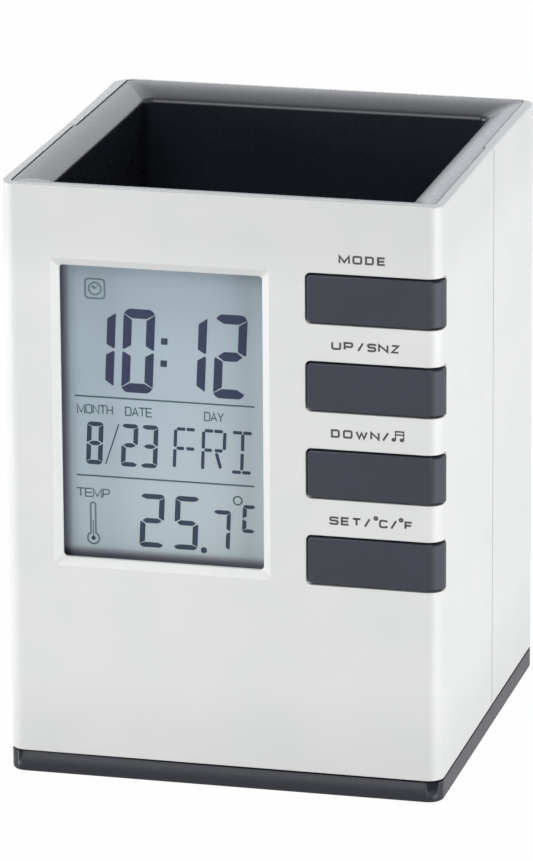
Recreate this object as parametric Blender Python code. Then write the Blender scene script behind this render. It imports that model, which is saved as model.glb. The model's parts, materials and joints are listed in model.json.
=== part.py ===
"""A desk clock with a pen cup, as its separate moulded, electrical and fixing pieces.

The clock stands on the XY plane with its display towards -Y, and its origin is the middle of its
underside. The case is two U-shaped shells that meet at a seam on each side. A base plate closes them
below and a cup closes them above. Everything behind the display is stacked from the front wall
backwards, and everything under the cup is stacked from the floor upwards.
"""

import math

import bmesh
import bpy
from mathutils import Matrix, Vector

# Fits and cuts
CLEARANCE = 0.0003
OVERRUN = 0.0020
SINK = 0.0004

# Case
CASE_WIDTH = 0.0800
CASE_DEPTH = 0.0800
CASE_HEIGHT = 0.1100
CASE_CORNER = 0.0028
INNER_CORNER = 0.0004
FRONT_WALL = 0.0015
REAR_WALL = 0.0019
TOP_ROUND = 0.0005
SEAM_FROM_FRONT = 0.0432
LEDGE_WIDTH = 0.0020
LEDGE_THICKNESS = 0.0012
TONGUE_THICKNESS = 0.0008
TONGUE_LENGTH = 0.0030

# Window in the front wall
WINDOW_MARGIN = 0.0090
WINDOW_TO_KEYS = 0.0068
WINDOW_FROM_FLOOR = 0.0398
WINDOW_FROM_TOP = 0.0131
WINDOW_CORNER = 0.0003
CHAMFER_WIDTH = 0.0015
CHAMFER_DEPTH = 0.0010
OPENING_CORNER = 0.0007
PAD_THICKNESS = 0.0006
PAD_MARGIN = 0.0010
PAD_SET = 0.0004

# Keys
KEY_NAMES = ("mode", "up", "down", "set")
KEY_LENGTH = 0.0242
KEY_HEIGHT_SHARE = 0.1518
KEY_INSET = 0.0002
KEY_DROP = 0.00015
KEY_PROUD = 0.0002
KEY_GAP = 0.00035
KEY_TRAVEL = 0.0005
KEY_EDGE = 0.0003
KEY_WALL = 0.0012
KEY_FLANGE = 0.0008
KEY_FLANGE_THICKNESS = 0.0010
KEY_POST_DIAMETER = 0.0050

# Display
LENS_THICKNESS = 0.0010
LENS_MARGIN = 0.0022
HOLDER_LIP = 0.0015
LIP_SET = 0.0014
HOLDER_WALL = 0.0012
GLASS_MARGIN = 0.0020
GLASS_SHEET = 0.0011
GLASS_LEDGE = 0.0026
REFLECTOR_THICKNESS = 0.0003

# Circuit board and what it carries
BOARD_THICKNESS = 0.0012
BOARD_SIDE_GAP = 0.0005
PART_SPACING = 0.0009
SWITCH_WIDTH = 0.0060
SWITCH_HEIGHT = 0.0030
SWITCH_BORE_DEPTH = 0.0016
PLUNGER_DIAMETER = 0.0034
PLUNGER_PROUD = 0.0010
PLUNGER_ENGAGED = 0.0008
BUZZER_DIAMETER = 0.0120
BUZZER_HEIGHT = 0.0055
BUZZER_EDGE = 0.0005
BUZZER_HOLE_DIAMETER = 0.0020
BUZZER_HOLE_DEPTH = 0.0030
CHIP_DIAMETER = 0.0120
CHIP_HEIGHT = 0.0014
CRYSTAL_DIAMETER = 0.0015
CRYSTAL_LENGTH = 0.0050
CRYSTAL_EDGE = 0.0002
SENSOR_DIAMETER = 0.0022
SENSOR_LENGTH = 0.0040
SENSOR_EDGE = 0.0004
SOCKET_WIDTH = 0.0070
SOCKET_DEPTH = 0.0040
SOCKET_HEIGHT = 0.0060
SOCKET_PITCH = 0.0030
SOCKET_HOLE_DEPTH = 0.0025
CLIP_WIDTH = 0.0050
CLIP_THICKNESS = 0.0012
CLIP_HOOK = 0.0010
CLIP_BITE = 0.0008
BOARD_SCREW_DIAMETER = 0.0017
BOARD_SCREW_LENGTH = 0.0050
BOARD_SCREW_HEAD_DIAMETER = 0.0034
BOARD_SCREW_HEAD_HEIGHT = 0.0011
BOARD_BOSS_DIAMETER = 0.0046

# Places across the board, as shares of its width from its left edge
BOARD_SCREW_SHARES = (0.07, 0.93)
SENSOR_SHARE = 0.20
BUZZER_SHARE = 0.42
SOCKET_SHARE = 0.74
CLIP_SHARES = (0.22, 0.78)

# Places on the back of the board, as shares of the display's height from its bottom edge
CHIP_RISE_SHARE = 0.50
CRYSTAL_RISE_SHARE = 0.25

# Base
FOOT_PROUD = 0.0001
FOOT_DIAMETER = 0.0080
FOOT_THICKNESS = 0.0012
FOOT_INSET = 0.0070
FOOT_SPACING = 0.0015
BASE_BAND = 0.0038
BASE_EDGE = 0.0005
BASE_FLOOR = 0.0026
LIP_HEIGHT = 0.0030
LIP_THICKNESS = 0.0012

# Base screws and the bosses that take them
BASE_SCREW_DIAMETER = 0.0024
BASE_SCREW_LENGTH = 0.0080
BASE_SCREW_HEAD_DIAMETER = 0.0046
BASE_SCREW_HEAD_HEIGHT = 0.0013
BASE_SCREW_RECESS = 0.0003
BOSS_DIAMETER = 0.0065
WEB_THICKNESS = 0.0016
SCREW_TIP_LENGTH = 0.0010
CROSS_DEPTH_SHARE = 0.6
CROSS_SPAN_SHARE = 0.62
CROSS_WIDTH_SHARE = 0.16

# Batteries, their bay and their contacts
BATTERY_DIAMETER = 0.0105
BATTERY_LENGTH = 0.0445
BATTERY_EDGE = 0.0004
NUB_DIAMETER = 0.0038
NUB_LENGTH = 0.0008
BAY_WALL = 0.0012
CONTACT_THICKNESS = 0.0004
CONTACT_WIDTH = 0.0090
CONTACT_HEIGHT = 0.0086
TAB_WIDTH = 0.0020
TAB_REACH = 0.0020
SPRING_LENGTH = 0.0040
SPRING_WIRE = 0.0005
SPRING_WIDE = 0.0064
SPRING_NARROW = 0.0040
SPRING_TURNS = 4

# Battery door
DOOR_THICKNESS = 0.0014
DOOR_LEDGE = 0.0015
DOOR_PIN_DIAMETER = 0.0009
DOOR_PIN_LENGTH = 0.0012
DOOR_TAB_WIDTH = 0.0100
DOOR_TAB_LENGTH = 0.0020
DOOR_TAB_THICKNESS = 0.0010
DOOR_RIB_THICKNESS = 0.0012
DOOR_RIB_INSET = 0.0015
DOOR_RIB_SHARES = (-0.5, 0.5)
FINGER_GAP = 0.0020

# Cup
CUP_WALL = 0.0015
CUP_CORNER = 0.0020
RIM_SET = 0.0001
RIM_GAP = 0.00015
RIM_WIDTH = 0.0056
RIM_DROP = 0.0018
RIM_BEND = 2.0
RIM_LAND = 0.0006
RIM_ROUND = 0.0012
RIM_OVERLAP_SHARE = 0.65
RIM_LIP = 0.0012
RIM_LIP_SLOPE = 0.0003
SKIRT_THICKNESS = 0.0012
SKIRT_HEIGHT = 0.0040

# Leads
LEAD_DIAMETER = 0.0010
LEAD_SPACING = 0.0024
LEAD_RISE = 0.0016

# Counts that set how finely round shapes are drawn
CORNER_STEPS = 6
EDGE_STEPS = 3
RIM_STEPS = 5
RIM_ROUND_STEPS = 4
ROUND_STEPS = 20
FINE_ROUND_STEPS = 14
SPRING_POINTS_PER_TURN = 10
SMOOTH_ANGLE = math.radians(35)

# Finishes: colour as red, green and blue from 0 to 1, then roughness and metallic value
SILVER_PAINT = ((0.72, 0.73, 0.73), 0.38, 0.25)
DARK_ABS = ((0.055, 0.060, 0.080), 0.45, 0.0)
CUP_ABS = ((0.040, 0.044, 0.062), 0.40, 0.0)
CLEAR_ACRYLIC = ((0.90, 0.93, 0.92), 0.05, 0.0)
DISPLAY_GLASS = ((0.36, 0.43, 0.44), 0.12, 0.0)
REFLECTOR_FILM = ((0.50, 0.56, 0.55), 0.35, 0.3)
BLACK_RUBBER = ((0.020, 0.020, 0.022), 0.80, 0.0)
BOARD_LAMINATE = ((0.060, 0.200, 0.080), 0.50, 0.0)
BLACK_EPOXY = ((0.012, 0.012, 0.013), 0.30, 0.0)
BRIGHT_STEEL = ((0.62, 0.62, 0.60), 0.28, 1.0)
NICKEL_PLATE = ((0.66, 0.63, 0.57), 0.25, 1.0)
BLACK_PLASTIC = ((0.025, 0.025, 0.027), 0.50, 0.0)
WHITE_NYLON = ((0.78, 0.76, 0.70), 0.50, 0.0)
GREY_NYLON = ((0.30, 0.30, 0.31), 0.50, 0.0)
CELL_JACKET = ((0.16, 0.28, 0.22), 0.35, 0.2)
RED_WIRE = ((0.50, 0.03, 0.02), 0.45, 0.0)
BLACK_WIRE = ((0.02, 0.02, 0.02), 0.45, 0.0)

# Places across the case
LEFT = -CASE_WIDTH / 2
RIGHT = CASE_WIDTH / 2
FRONT = -CASE_DEPTH / 2
REAR = CASE_DEPTH / 2
SEAM = FRONT + SEAM_FROM_FRONT
THICK_WALL = max(FRONT_WALL, REAR_WALL)

# Heights, from the floor up
BASE_BOTTOM = FOOT_PROUD
BASE_TOP = BASE_BOTTOM + BASE_BAND
FLOOR_TOP = BASE_BOTTOM + BASE_FLOOR
SHELL_BOTTOM = BASE_TOP + CLEARANCE
LIP_TOP = BASE_TOP + LIP_HEIGHT
BATTERY_HEIGHT = FLOOR_TOP + BATTERY_DIAMETER / 2
BAY_CEILING = FLOOR_TOP + BATTERY_DIAMETER + CLEARANCE
BAY_TOP = BAY_CEILING + BAY_WALL
CUP_BOTTOM = BAY_TOP + CLEARANCE
CUP_FLOOR = CUP_BOTTOM + CUP_WALL
BOSS_TOP = CUP_BOTTOM - CLEARANCE
SCREW_SEAT = BASE_BOTTOM + BASE_SCREW_RECESS + BASE_SCREW_HEAD_HEIGHT
SCREW_TIP = SCREW_SEAT + BASE_SCREW_LENGTH

# Depths behind the front face, from the front back
WALL_BACK = FRONT + FRONT_WALL
PAD_BACK = WALL_BACK + PAD_THICKNESS
CHAMFER_BACK = FRONT + CHAMFER_DEPTH
LENS_FRONT = PAD_BACK + CLEARANCE
LENS_BACK = LENS_FRONT + LENS_THICKNESS
HOLDER_FRONT = LENS_BACK + CLEARANCE
LIP_BACK = HOLDER_FRONT + HOLDER_LIP
GLASS_FRONT = LIP_BACK + CLEARANCE
GLASS_STEP = GLASS_FRONT + GLASS_SHEET
GLASS_BACK = GLASS_STEP + GLASS_SHEET
REFLECTOR_FRONT = GLASS_BACK + CLEARANCE
REFLECTOR_BACK = REFLECTOR_FRONT + REFLECTOR_THICKNESS
BOARD_FRONT = REFLECTOR_BACK + CLEARANCE
BOARD_BACK = BOARD_FRONT + BOARD_THICKNESS
PARTS_SEAT = BOARD_FRONT - CLEARANCE
BACK_SEAT = BOARD_BACK + CLEARANCE
SWITCH_FRONT = PARTS_SEAT - SWITCH_HEIGHT
PLUNGER_FRONT = SWITCH_FRONT - PLUNGER_PROUD
FLANGE_FRONT = WALL_BACK + CLEARANCE
FLANGE_BACK = FLANGE_FRONT + KEY_FLANGE_THICKNESS
KEY_BACK = max(FLANGE_BACK, FRONT + CASE_CORNER) + CLEARANCE
POST_BACK = PLUNGER_FRONT - CLEARANCE
BACK_PARTS = max(CHIP_HEIGHT, CRYSTAL_DIAMETER, BOARD_SCREW_HEAD_HEIGHT, CLIP_HOOK)
CUP_FRONT = BACK_SEAT + BACK_PARTS + 2 * CLEARANCE

# Window and keys on the front face, as left, bottom, right and top
KEY_LEFT = RIGHT - KEY_LENGTH
WINDOW = (
    LEFT + WINDOW_MARGIN,
    WINDOW_FROM_FLOOR,
    KEY_LEFT - WINDOW_TO_KEYS,
    CASE_HEIGHT - WINDOW_FROM_TOP,
)
KEY_MIDDLE = (WINDOW[1] + WINDOW[3]) / 2 - KEY_DROP
KEY_SPAN = WINDOW[3] - WINDOW[1] - 2 * KEY_INSET
KEY_HEIGHT = KEY_HEIGHT_SHARE * KEY_SPAN
KEY_PITCH = (KEY_SPAN - KEY_HEIGHT) / (len(KEY_NAMES) - 1)
SWITCH_X = KEY_LEFT + KEY_LENGTH / 2


def grown(rectangle, by):
    """A rectangle of left, bottom, right and top, moved outwards on every side."""
    left, bottom, right, top = rectangle
    return left - by, bottom - by, right + by, top + by


OPENING = grown(WINDOW, -CHAMFER_WIDTH)
LENS = grown(OPENING, LENS_MARGIN)
LIP = grown(OPENING, LIP_SET)
GLASS = grown(OPENING, GLASS_MARGIN)
POCKET = grown(GLASS, CLEARANCE)
HOLDER = grown(POCKET, HOLDER_WALL)

# The board's strip below the display holds the buzzer, which sets the strip's height
BOARD_LEFT = LEFT + FRONT_WALL + BOARD_SIDE_GAP
BOARD_RIGHT = RIGHT - FRONT_WALL - BOARD_SIDE_GAP
BOARD_BOTTOM = HOLDER[1] - BUZZER_DIAMETER - 2 * PART_SPACING
BOARD_TOP = HOLDER[3]
STRIP_MIDDLE = (BOARD_BOTTOM + HOLDER[1]) / 2
CLIP_BOTTOM = BOARD_TOP + CLEARANCE
CLIP_TOP = CLIP_BOTTOM + CLIP_THICKNESS

# Bay under the cup, and the bosses round it
BAY_LENGTH = SPRING_LENGTH + BATTERY_LENGTH + 2 * CONTACT_THICKNESS + 5 * CLEARANCE
BAY_WIDTH = 2 * BATTERY_DIAMETER + 3 * CLEARANCE
BATTERY_Y = (BATTERY_DIAMETER + CLEARANCE) / 2
RECESS_X = BAY_LENGTH / 2 + DOOR_LEDGE
RECESS_Y = BAY_WIDTH / 2 + DOOR_LEDGE
LIP_INSET = THICK_WALL + CLEARANCE
BOSS_INSET = LIP_INSET + LIP_THICKNESS + CLEARANCE + BOSS_DIAMETER / 2
SHELL_BOSS_X = RIGHT - BOSS_INSET
SHELL_BOSS_Y = REAR - BOSS_INSET
CUP_BOSS_X = BAY_LENGTH / 2
CUP_BOSS_Y = BAY_WIDTH / 2 + BAY_WALL + CLEARANCE + BOSS_DIAMETER / 2
FOOT_X = RIGHT - FOOT_INSET
FOOT_Y = SHELL_BOSS_Y - BOSS_DIAMETER / 2 - FOOT_SPACING - FOOT_DIAMETER / 2

# Door hinge
HINGE_Y = RECESS_Y - CLEARANCE - DOOR_THICKNESS / 2
HINGE_Z = BASE_BOTTOM + DOOR_THICKNESS / 2

# Cup rim
RIM_TOP = CASE_HEIGHT - RIM_SET
RIM_INNER = RIM_TOP - RIM_DROP
SKIRT_BOTTOM = RIM_TOP - SKIRT_HEIGHT
LEDGE_TOP = SKIRT_BOTTOM - CLEARANCE
RIM_X_FRONT = RIGHT - FRONT_WALL - RIM_GAP
RIM_X_REAR = RIGHT - REAR_WALL - RIM_GAP
RIM_Y_FRONT = FRONT + FRONT_WALL + RIM_GAP
RIM_Y_REAR = REAR - REAR_WALL - RIM_GAP
RIM_OVERLAP = RIM_OVERLAP_SHARE * REAR_WALL
RIM_Y_BACK = RIM_Y_REAR + RIM_OVERLAP
RIM_STEP_TOP = RIM_TOP - RIM_LIP - CLEARANCE
RIM_CORNER = max(CASE_CORNER - FRONT_WALL - CLEARANCE, INNER_CORNER)
CUP_X = RIM_X_FRONT - RIM_WIDTH
FUNNEL_BOTTOM = CLIP_TOP + CLEARANCE + CUP_WALL


def arc(centre, radius, start, end, steps=CORNER_STEPS):
    """Points along an arc, from one angle in degrees to another."""
    angles = [math.radians(start + (end - start) * i / steps) for i in range(steps + 1)]
    return [
        (centre[0] + radius * math.cos(angle), centre[1] + radius * math.sin(angle))
        for angle in angles
    ]


def mirrored(points):
    """The same line on the other side of the YZ plane, run backwards."""
    return [(-x, y) for x, y in reversed(points)]


def wall_line(side, inset, setback, deeper=0.0):
    """Right half of a line that runs inside a shell's outer face, from the seam to the middle.

    Side is -1 for the front shell and 1 for the rear one. Deeper moves only the line's end wall.
    """
    corner = max(CASE_CORNER - inset, INNER_CORNER)
    x = RIGHT - inset
    y = side * (CASE_DEPTH / 2 - inset + deeper)
    seam = SEAM + side * (CLEARANCE / 2 + setback)
    return [(x, seam)] + arc((x - corner, y - side * corner), corner, 0, side * 90)


def shell_plan(side, outer, inner, setback=0.0, deeper=0.0):
    """Plan of a U-shaped wall between two insets from the case's outer face."""
    outside = wall_line(side, outer, setback)
    inside = wall_line(side, inner, setback, deeper)
    return outside + mirrored(outside) + list(reversed(inside + mirrored(inside)))


def box_plan(half_x, half_y, corner, z):
    """A rectangle with round corners at one height, centred on the Z axis."""
    corner = max(corner, INNER_CORNER)
    points = []
    for sign_x, sign_y, start in ((1, 1, 0), (-1, 1, 90), (-1, -1, 180), (1, -1, 270)):
        centre = (sign_x * (half_x - corner), sign_y * (half_y - corner))
        points += arc(centre, corner, start, start + 90)
    return [(x, y, z) for x, y in points]


def cup_plan(x_front, x_rear, y_front, y_rear, corner, z):
    """A rectangle with round corners that may be narrower behind the seam than in front of it."""
    seam_front = SEAM - CLEARANCE / 2
    seam_rear = SEAM + CLEARANCE / 2
    points = [(x_front, seam_front), (x_rear, seam_rear)]
    points += arc((x_rear - corner, y_rear - corner), corner, 0, 90)
    points += arc((corner - x_rear, y_rear - corner), corner, 90, 180)
    points += [(-x_rear, seam_rear), (-x_front, seam_front)]
    points += arc((corner - x_front, y_front + corner), corner, 180, 270)
    points += arc((x_front - corner, y_front + corner), corner, 270, 360)
    return [(x, y, z) for x, y in points]


def upright(rectangle, y):
    """A rectangle of the front face as a loop at one depth."""
    left, bottom, right, top = rectangle
    return [(left, y, bottom), (right, y, bottom), (right, y, top), (left, y, top)]


def upright_round(rectangle, corner, y):
    """The same loop with round corners."""
    left, bottom, right, top = grown(rectangle, -corner)
    centres = ((left, bottom), (right, bottom), (right, top), (left, top))
    points = []
    for centre, start in zip(centres, (180, 270, 0, 90)):
        points += arc(centre, corner, start, start + 90, EDGE_STEPS)
    return [(x, y, z) for x, z in points]


def flat(half_x, half_y, z):
    """A level rectangle centred on the Z axis, as a loop."""
    return [(-half_x, -half_y, z), (half_x, -half_y, z), (half_x, half_y, z), (-half_x, half_y, z)]


def add_loft(bm, loops, ring=False):
    """A skin over loops of equal counts, closed by end faces or, for a ring, by itself."""
    rows = [[bm.verts.new(point) for point in loop] for loop in loops]
    pairs = list(zip(rows, rows[1:]))
    if ring:
        pairs.append((rows[-1], rows[0]))
    else:
        bm.faces.new(rows[0])
        bm.faces.new(rows[-1])
    for lower, upper in pairs:
        for i, corner in enumerate(lower):
            following = (i + 1) % len(lower)
            bm.faces.new((corner, lower[following], upper[following], upper[i]))
    return rows


def add_prism(bm, outline, low, high, axis="Z"):
    """An outline drawn out along an axis, with its points in the other two axes' order."""
    place = {
        "X": lambda a, b, c: (c, a, b),
        "Y": lambda a, b, c: (a, c, b),
        "Z": lambda a, b, c: (a, b, c),
    }[axis]
    return add_loft(bm, [[place(a, b, level) for a, b in outline] for level in (low, high)])


def add_box(bm, low, high):
    """A box between two corners."""
    low, high = Vector(low), Vector(high)
    matrix = Matrix.Translation((low + high) / 2) @ Matrix.Diagonal((high - low).to_4d())
    matrix[3][3] = 1.0
    bmesh.ops.create_cube(bm, size=1.0, matrix=matrix)


def add_turned(bm, profile, axis="Z", centre=(0, 0, 0), steps=ROUND_STEPS):
    """A turned solid, from (radius, distance along the axis) points, with flat ends."""
    loops = []
    for radius, along in profile:
        ring = [(a, b) for a, b in arc((0, 0), radius, 0, 360, steps)[:-1]]
        if axis == "X":
            loops.append([(centre[0] + along, centre[1] + a, centre[2] + b) for a, b in ring])
        elif axis == "Y":
            loops.append([(centre[0] + a, centre[1] + along, centre[2] + b) for a, b in ring])
        else:
            loops.append([(centre[0] + a, centre[1] + b, centre[2] + along) for a, b in ring])
    return add_loft(bm, loops)


def new_material(name, finish):
    """A Principled material with a piece's colour, roughness and metallic value."""
    colour, roughness, metallic = finish
    material = bpy.data.materials.new(name)
    material.use_nodes = True
    shader = material.node_tree.nodes["Principled BSDF"]
    shader.inputs["Base Color"].default_value = (*colour, 1.0)
    shader.inputs["Roughness"].default_value = roughness
    shader.inputs["Metallic"].default_value = metallic
    material.diffuse_color = (*colour, 1.0)
    return material


def mesh_of(name, bm):
    """A mesh from a bmesh, with its faces turned outwards and shaded smooth over shallow edges."""
    bmesh.ops.recalc_face_normals(bm, faces=bm.faces)
    mesh = bpy.data.meshes.new(name)
    bm.to_mesh(mesh)
    bm.free()
    mesh.shade_smooth()
    mesh.set_sharp_from_angle(angle=SMOOTH_ANGLE)
    return mesh


def stand(name, data, parent, place=(0, 0, 0), turn=(0, 0, 0)):
    """Put an object with this data into the scene, placed and turned under its parent."""
    obj = bpy.data.objects.new(name, data)
    obj.location = place
    obj.rotation_euler = turn
    obj.parent = parent
    bpy.context.scene.collection.objects.link(obj)
    return obj


def make(name, bm, finish, parent, place=(0, 0, 0), turn=(0, 0, 0)):
    """One piece of the clock, with a material of its own."""
    mesh = mesh_of(name, bm)
    mesh.materials.append(new_material(name + "_finish", finish))
    return stand(name, mesh, parent, place, turn)


def change(piece, operation, name, bm):
    """Join a shape to a piece or cut it out, with a Boolean whose tool stays as a hidden wire."""
    tool = stand(name, mesh_of(name, bm), piece.parent, piece.location, piece.rotation_euler)
    tool.hide_render = True
    tool.display_type = "WIRE"
    boolean = piece.modifiers.new(name, "BOOLEAN")
    boolean.operation = operation
    boolean.solver = "EXACT"
    boolean.object = tool


def pin_places():
    """The four corner screws of the shells, as signs of X and Y."""
    return [(x, y) for x in (-1, 1) for y in (-1, 1)]


def board_x(share):
    """A place across the board, from a share of its width."""
    return BOARD_LEFT + share * (BOARD_RIGHT - BOARD_LEFT)


def key_height(index):
    """Height of a key's middle, counted from the top one."""
    return KEY_MIDDLE + (KEY_SPAN - KEY_HEIGHT) / 2 - index * KEY_PITCH


def round_top(bm, rows, outer_count):
    """Round the top outer edge of a shell, whose plan begins with its outer points."""
    top = rows[-1][:outer_count]
    edges = [bm.edges.get((a, b)) for a, b in zip(top, top[1:])]
    bmesh.ops.bevel(bm, geom=edges, offset=TOP_ROUND, segments=EDGE_STEPS, profile=0.5, affect="EDGES")


def add_shell_features(shell, side):
    """The ledge that carries the cup, and the two screw bosses with their webs."""
    ledge = bmesh.new()
    wall = FRONT_WALL if side < 0 else REAR_WALL
    plan = shell_plan(side, wall / 2, wall + LEDGE_WIDTH, SINK)
    add_prism(ledge, plan, LEDGE_TOP - LEDGE_THICKNESS, LEDGE_TOP)
    change(shell, "UNION", shell.name + "_ledge", ledge)

    y = side * SHELL_BOSS_Y
    bosses, webs, bores = bmesh.new(), bmesh.new(), bmesh.new()
    for sign in (-1, 1):
        x = sign * SHELL_BOSS_X
        radius = BOSS_DIAMETER / 2
        add_turned(bosses, [(radius, SHELL_BOTTOM), (radius, BOSS_TOP)], "Z", (x, y, 0))
        ends = sorted((x, sign * (RIGHT - wall / 2)))
        half = WEB_THICKNESS / 2
        web_top = BOSS_TOP - SINK
        add_box(webs, (ends[0], y - half, LIP_TOP + CLEARANCE), (ends[1], y + half, web_top))
        bore = BASE_SCREW_DIAMETER / 2 + CLEARANCE
        span = [(bore, SHELL_BOTTOM - OVERRUN), (bore, SCREW_TIP + CLEARANCE)]
        add_turned(bores, span, "Z", (x, y, 0), FINE_ROUND_STEPS)
    change(shell, "UNION", shell.name + "_bosses", bosses)
    change(shell, "UNION", shell.name + "_webs", webs)
    change(shell, "DIFFERENCE", shell.name + "_bores", bores)


def build_shell(name, side, wall, case, step=0.0):
    """A front or rear half of the case: three walls with round corners and a round top edge.

    Step thins the top of the end wall from inside, where the cup's rim laps over it.
    """
    bm = bmesh.new()
    plan = shell_plan(side, 0.0, wall)
    levels = [(plan, SHELL_BOTTOM)]
    if step:
        thinned = shell_plan(side, 0.0, wall, deeper=step)
        levels += [(plan, RIM_STEP_TOP - RIM_LIP_SLOPE), (thinned, RIM_STEP_TOP), (thinned, CASE_HEIGHT)]
    else:
        levels.append((plan, CASE_HEIGHT))
    rows = add_loft(bm, [[(x, y, z) for x, y in outline] for outline, z in levels])
    round_top(bm, rows, len(plan) // 2)
    shell = make(name, bm, SILVER_PAINT, case)
    add_shell_features(shell, side)
    return shell


def build_front_shell(case):
    """The front half, with its window, key slots, board bosses and board clips."""
    shell = build_shell("front_shell", -1, FRONT_WALL, case)

    pad = bmesh.new()
    add_loft(pad, [upright(grown(WINDOW, PAD_MARGIN), y) for y in (WALL_BACK - SINK, PAD_BACK)])
    change(shell, "UNION", "window_pad", pad)

    window = bmesh.new()
    flare = CHAMFER_WIDTH * SINK / CHAMFER_DEPTH
    flare_corner = WINDOW_CORNER - (OPENING_CORNER - WINDOW_CORNER) * SINK / CHAMFER_DEPTH
    seat = grown(OPENING, PAD_SET)
    sections = (
        (grown(WINDOW, flare), flare_corner, FRONT - SINK),
        (OPENING, OPENING_CORNER, CHAMFER_BACK),
        (OPENING, OPENING_CORNER, WALL_BACK),
        (seat, OPENING_CORNER + PAD_SET, WALL_BACK),
        (seat, OPENING_CORNER + PAD_SET, PAD_BACK + OVERRUN),
    )
    add_loft(window, [upright_round(rectangle, corner, y) for rectangle, corner, y in sections])
    change(shell, "DIFFERENCE", "window_cut", window)

    slots = bmesh.new()
    for index in range(len(KEY_NAMES)):
        z = key_height(index)
        half = KEY_HEIGHT / 2 + KEY_GAP
        low = (KEY_LEFT - KEY_GAP, FRONT - OVERRUN, z - half)
        high = (RIGHT + OVERRUN, KEY_BACK + KEY_TRAVEL + CLEARANCE, z + half)
        add_box(slots, low, high)
    change(shell, "DIFFERENCE", "key_slots", slots)

    bosses, bores = bmesh.new(), bmesh.new()
    radius = BOARD_BOSS_DIAMETER / 2
    bore = BOARD_SCREW_DIAMETER / 2 + CLEARANCE
    for share in BOARD_SCREW_SHARES:
        centre = (board_x(share), 0, STRIP_MIDDLE)
        add_turned(bosses, [(radius, WALL_BACK - SINK), (radius, PARTS_SEAT)], "Y", centre)
        deep = BACK_SEAT - BOARD_SCREW_LENGTH - CLEARANCE
        add_turned(bores, [(bore, deep), (bore, BOARD_FRONT)], "Y", centre, FINE_ROUND_STEPS)
    change(shell, "UNION", "board_bosses", bosses)
    change(shell, "DIFFERENCE", "board_bores", bores)

    clips = bmesh.new()
    hook_front = BOARD_BACK + CLEARANCE
    hook_back = hook_front + CLIP_HOOK
    hook = [
        (WALL_BACK - SINK, CLIP_BOTTOM),
        (hook_front, CLIP_BOTTOM),
        (hook_front, BOARD_TOP - CLIP_BITE),
        (hook_back, BOARD_TOP - CLIP_BITE),
        (hook_back, CLIP_TOP),
        (WALL_BACK - SINK, CLIP_TOP),
    ]
    for share in CLIP_SHARES:
        x = board_x(share)
        add_prism(clips, hook, x - CLIP_WIDTH / 2, x + CLIP_WIDTH / 2, "X")
    change(shell, "UNION", "board_clips", clips)


def build_rear_shell(case):
    """The rear half, with the tongues that lap behind the front half's walls at the seam."""
    shell = build_shell("rear_shell", 1, REAR_WALL, case, RIM_OVERLAP)
    tongues = bmesh.new()
    outer = RIGHT - FRONT_WALL - CLEARANCE
    inner = outer - TONGUE_THICKNESS
    root = RIGHT - REAR_WALL / 2
    face = SEAM + CLEARANCE / 2
    plan = [
        (inner, face - TONGUE_LENGTH),
        (outer, face - TONGUE_LENGTH),
        (outer, face + SINK),
        (root, face + SINK),
        (root, face + TONGUE_LENGTH),
        (inner, face + TONGUE_LENGTH),
    ]
    low, high = LIP_TOP + CLEARANCE, LEDGE_TOP - LEDGE_THICKNESS - CLEARANCE
    add_prism(tongues, plan, low, high)
    add_prism(tongues, mirrored(plan), low, high)
    change(shell, "UNION", "seam_tongues", tongues)


def rim_profile():
    """The rim from the cup's wall out: distance from the wall, drop below the top, and corner radius."""
    turn = math.pi / 2 - math.atan(RIM_BEND * RIM_DROP / RIM_WIDTH)
    reach = RIM_ROUND * (1 - math.cos(turn))
    low = RIM_DROP * (1 - reach / RIM_WIDTH) ** RIM_BEND + RIM_ROUND * math.sin(turn)
    points = []
    for step in range(RIM_ROUND_STEPS):
        angle = turn * step / RIM_ROUND_STEPS
        out = RIM_ROUND * (1 - math.cos(angle))
        points.append((out, low - RIM_ROUND * math.sin(angle), CUP_CORNER + out))
    outs = [reach + (RIM_WIDTH - RIM_LAND - reach) * step / RIM_STEPS for step in range(RIM_STEPS + 1)]
    for out in outs + [RIM_WIDTH]:
        drop = RIM_DROP * (1 - out / RIM_WIDTH) ** RIM_BEND
        share = (out - reach) / (RIM_WIDTH - reach)
        points.append((out, drop, (1 - share) * (CUP_CORNER + reach) + share * RIM_CORNER))
    return points


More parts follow.
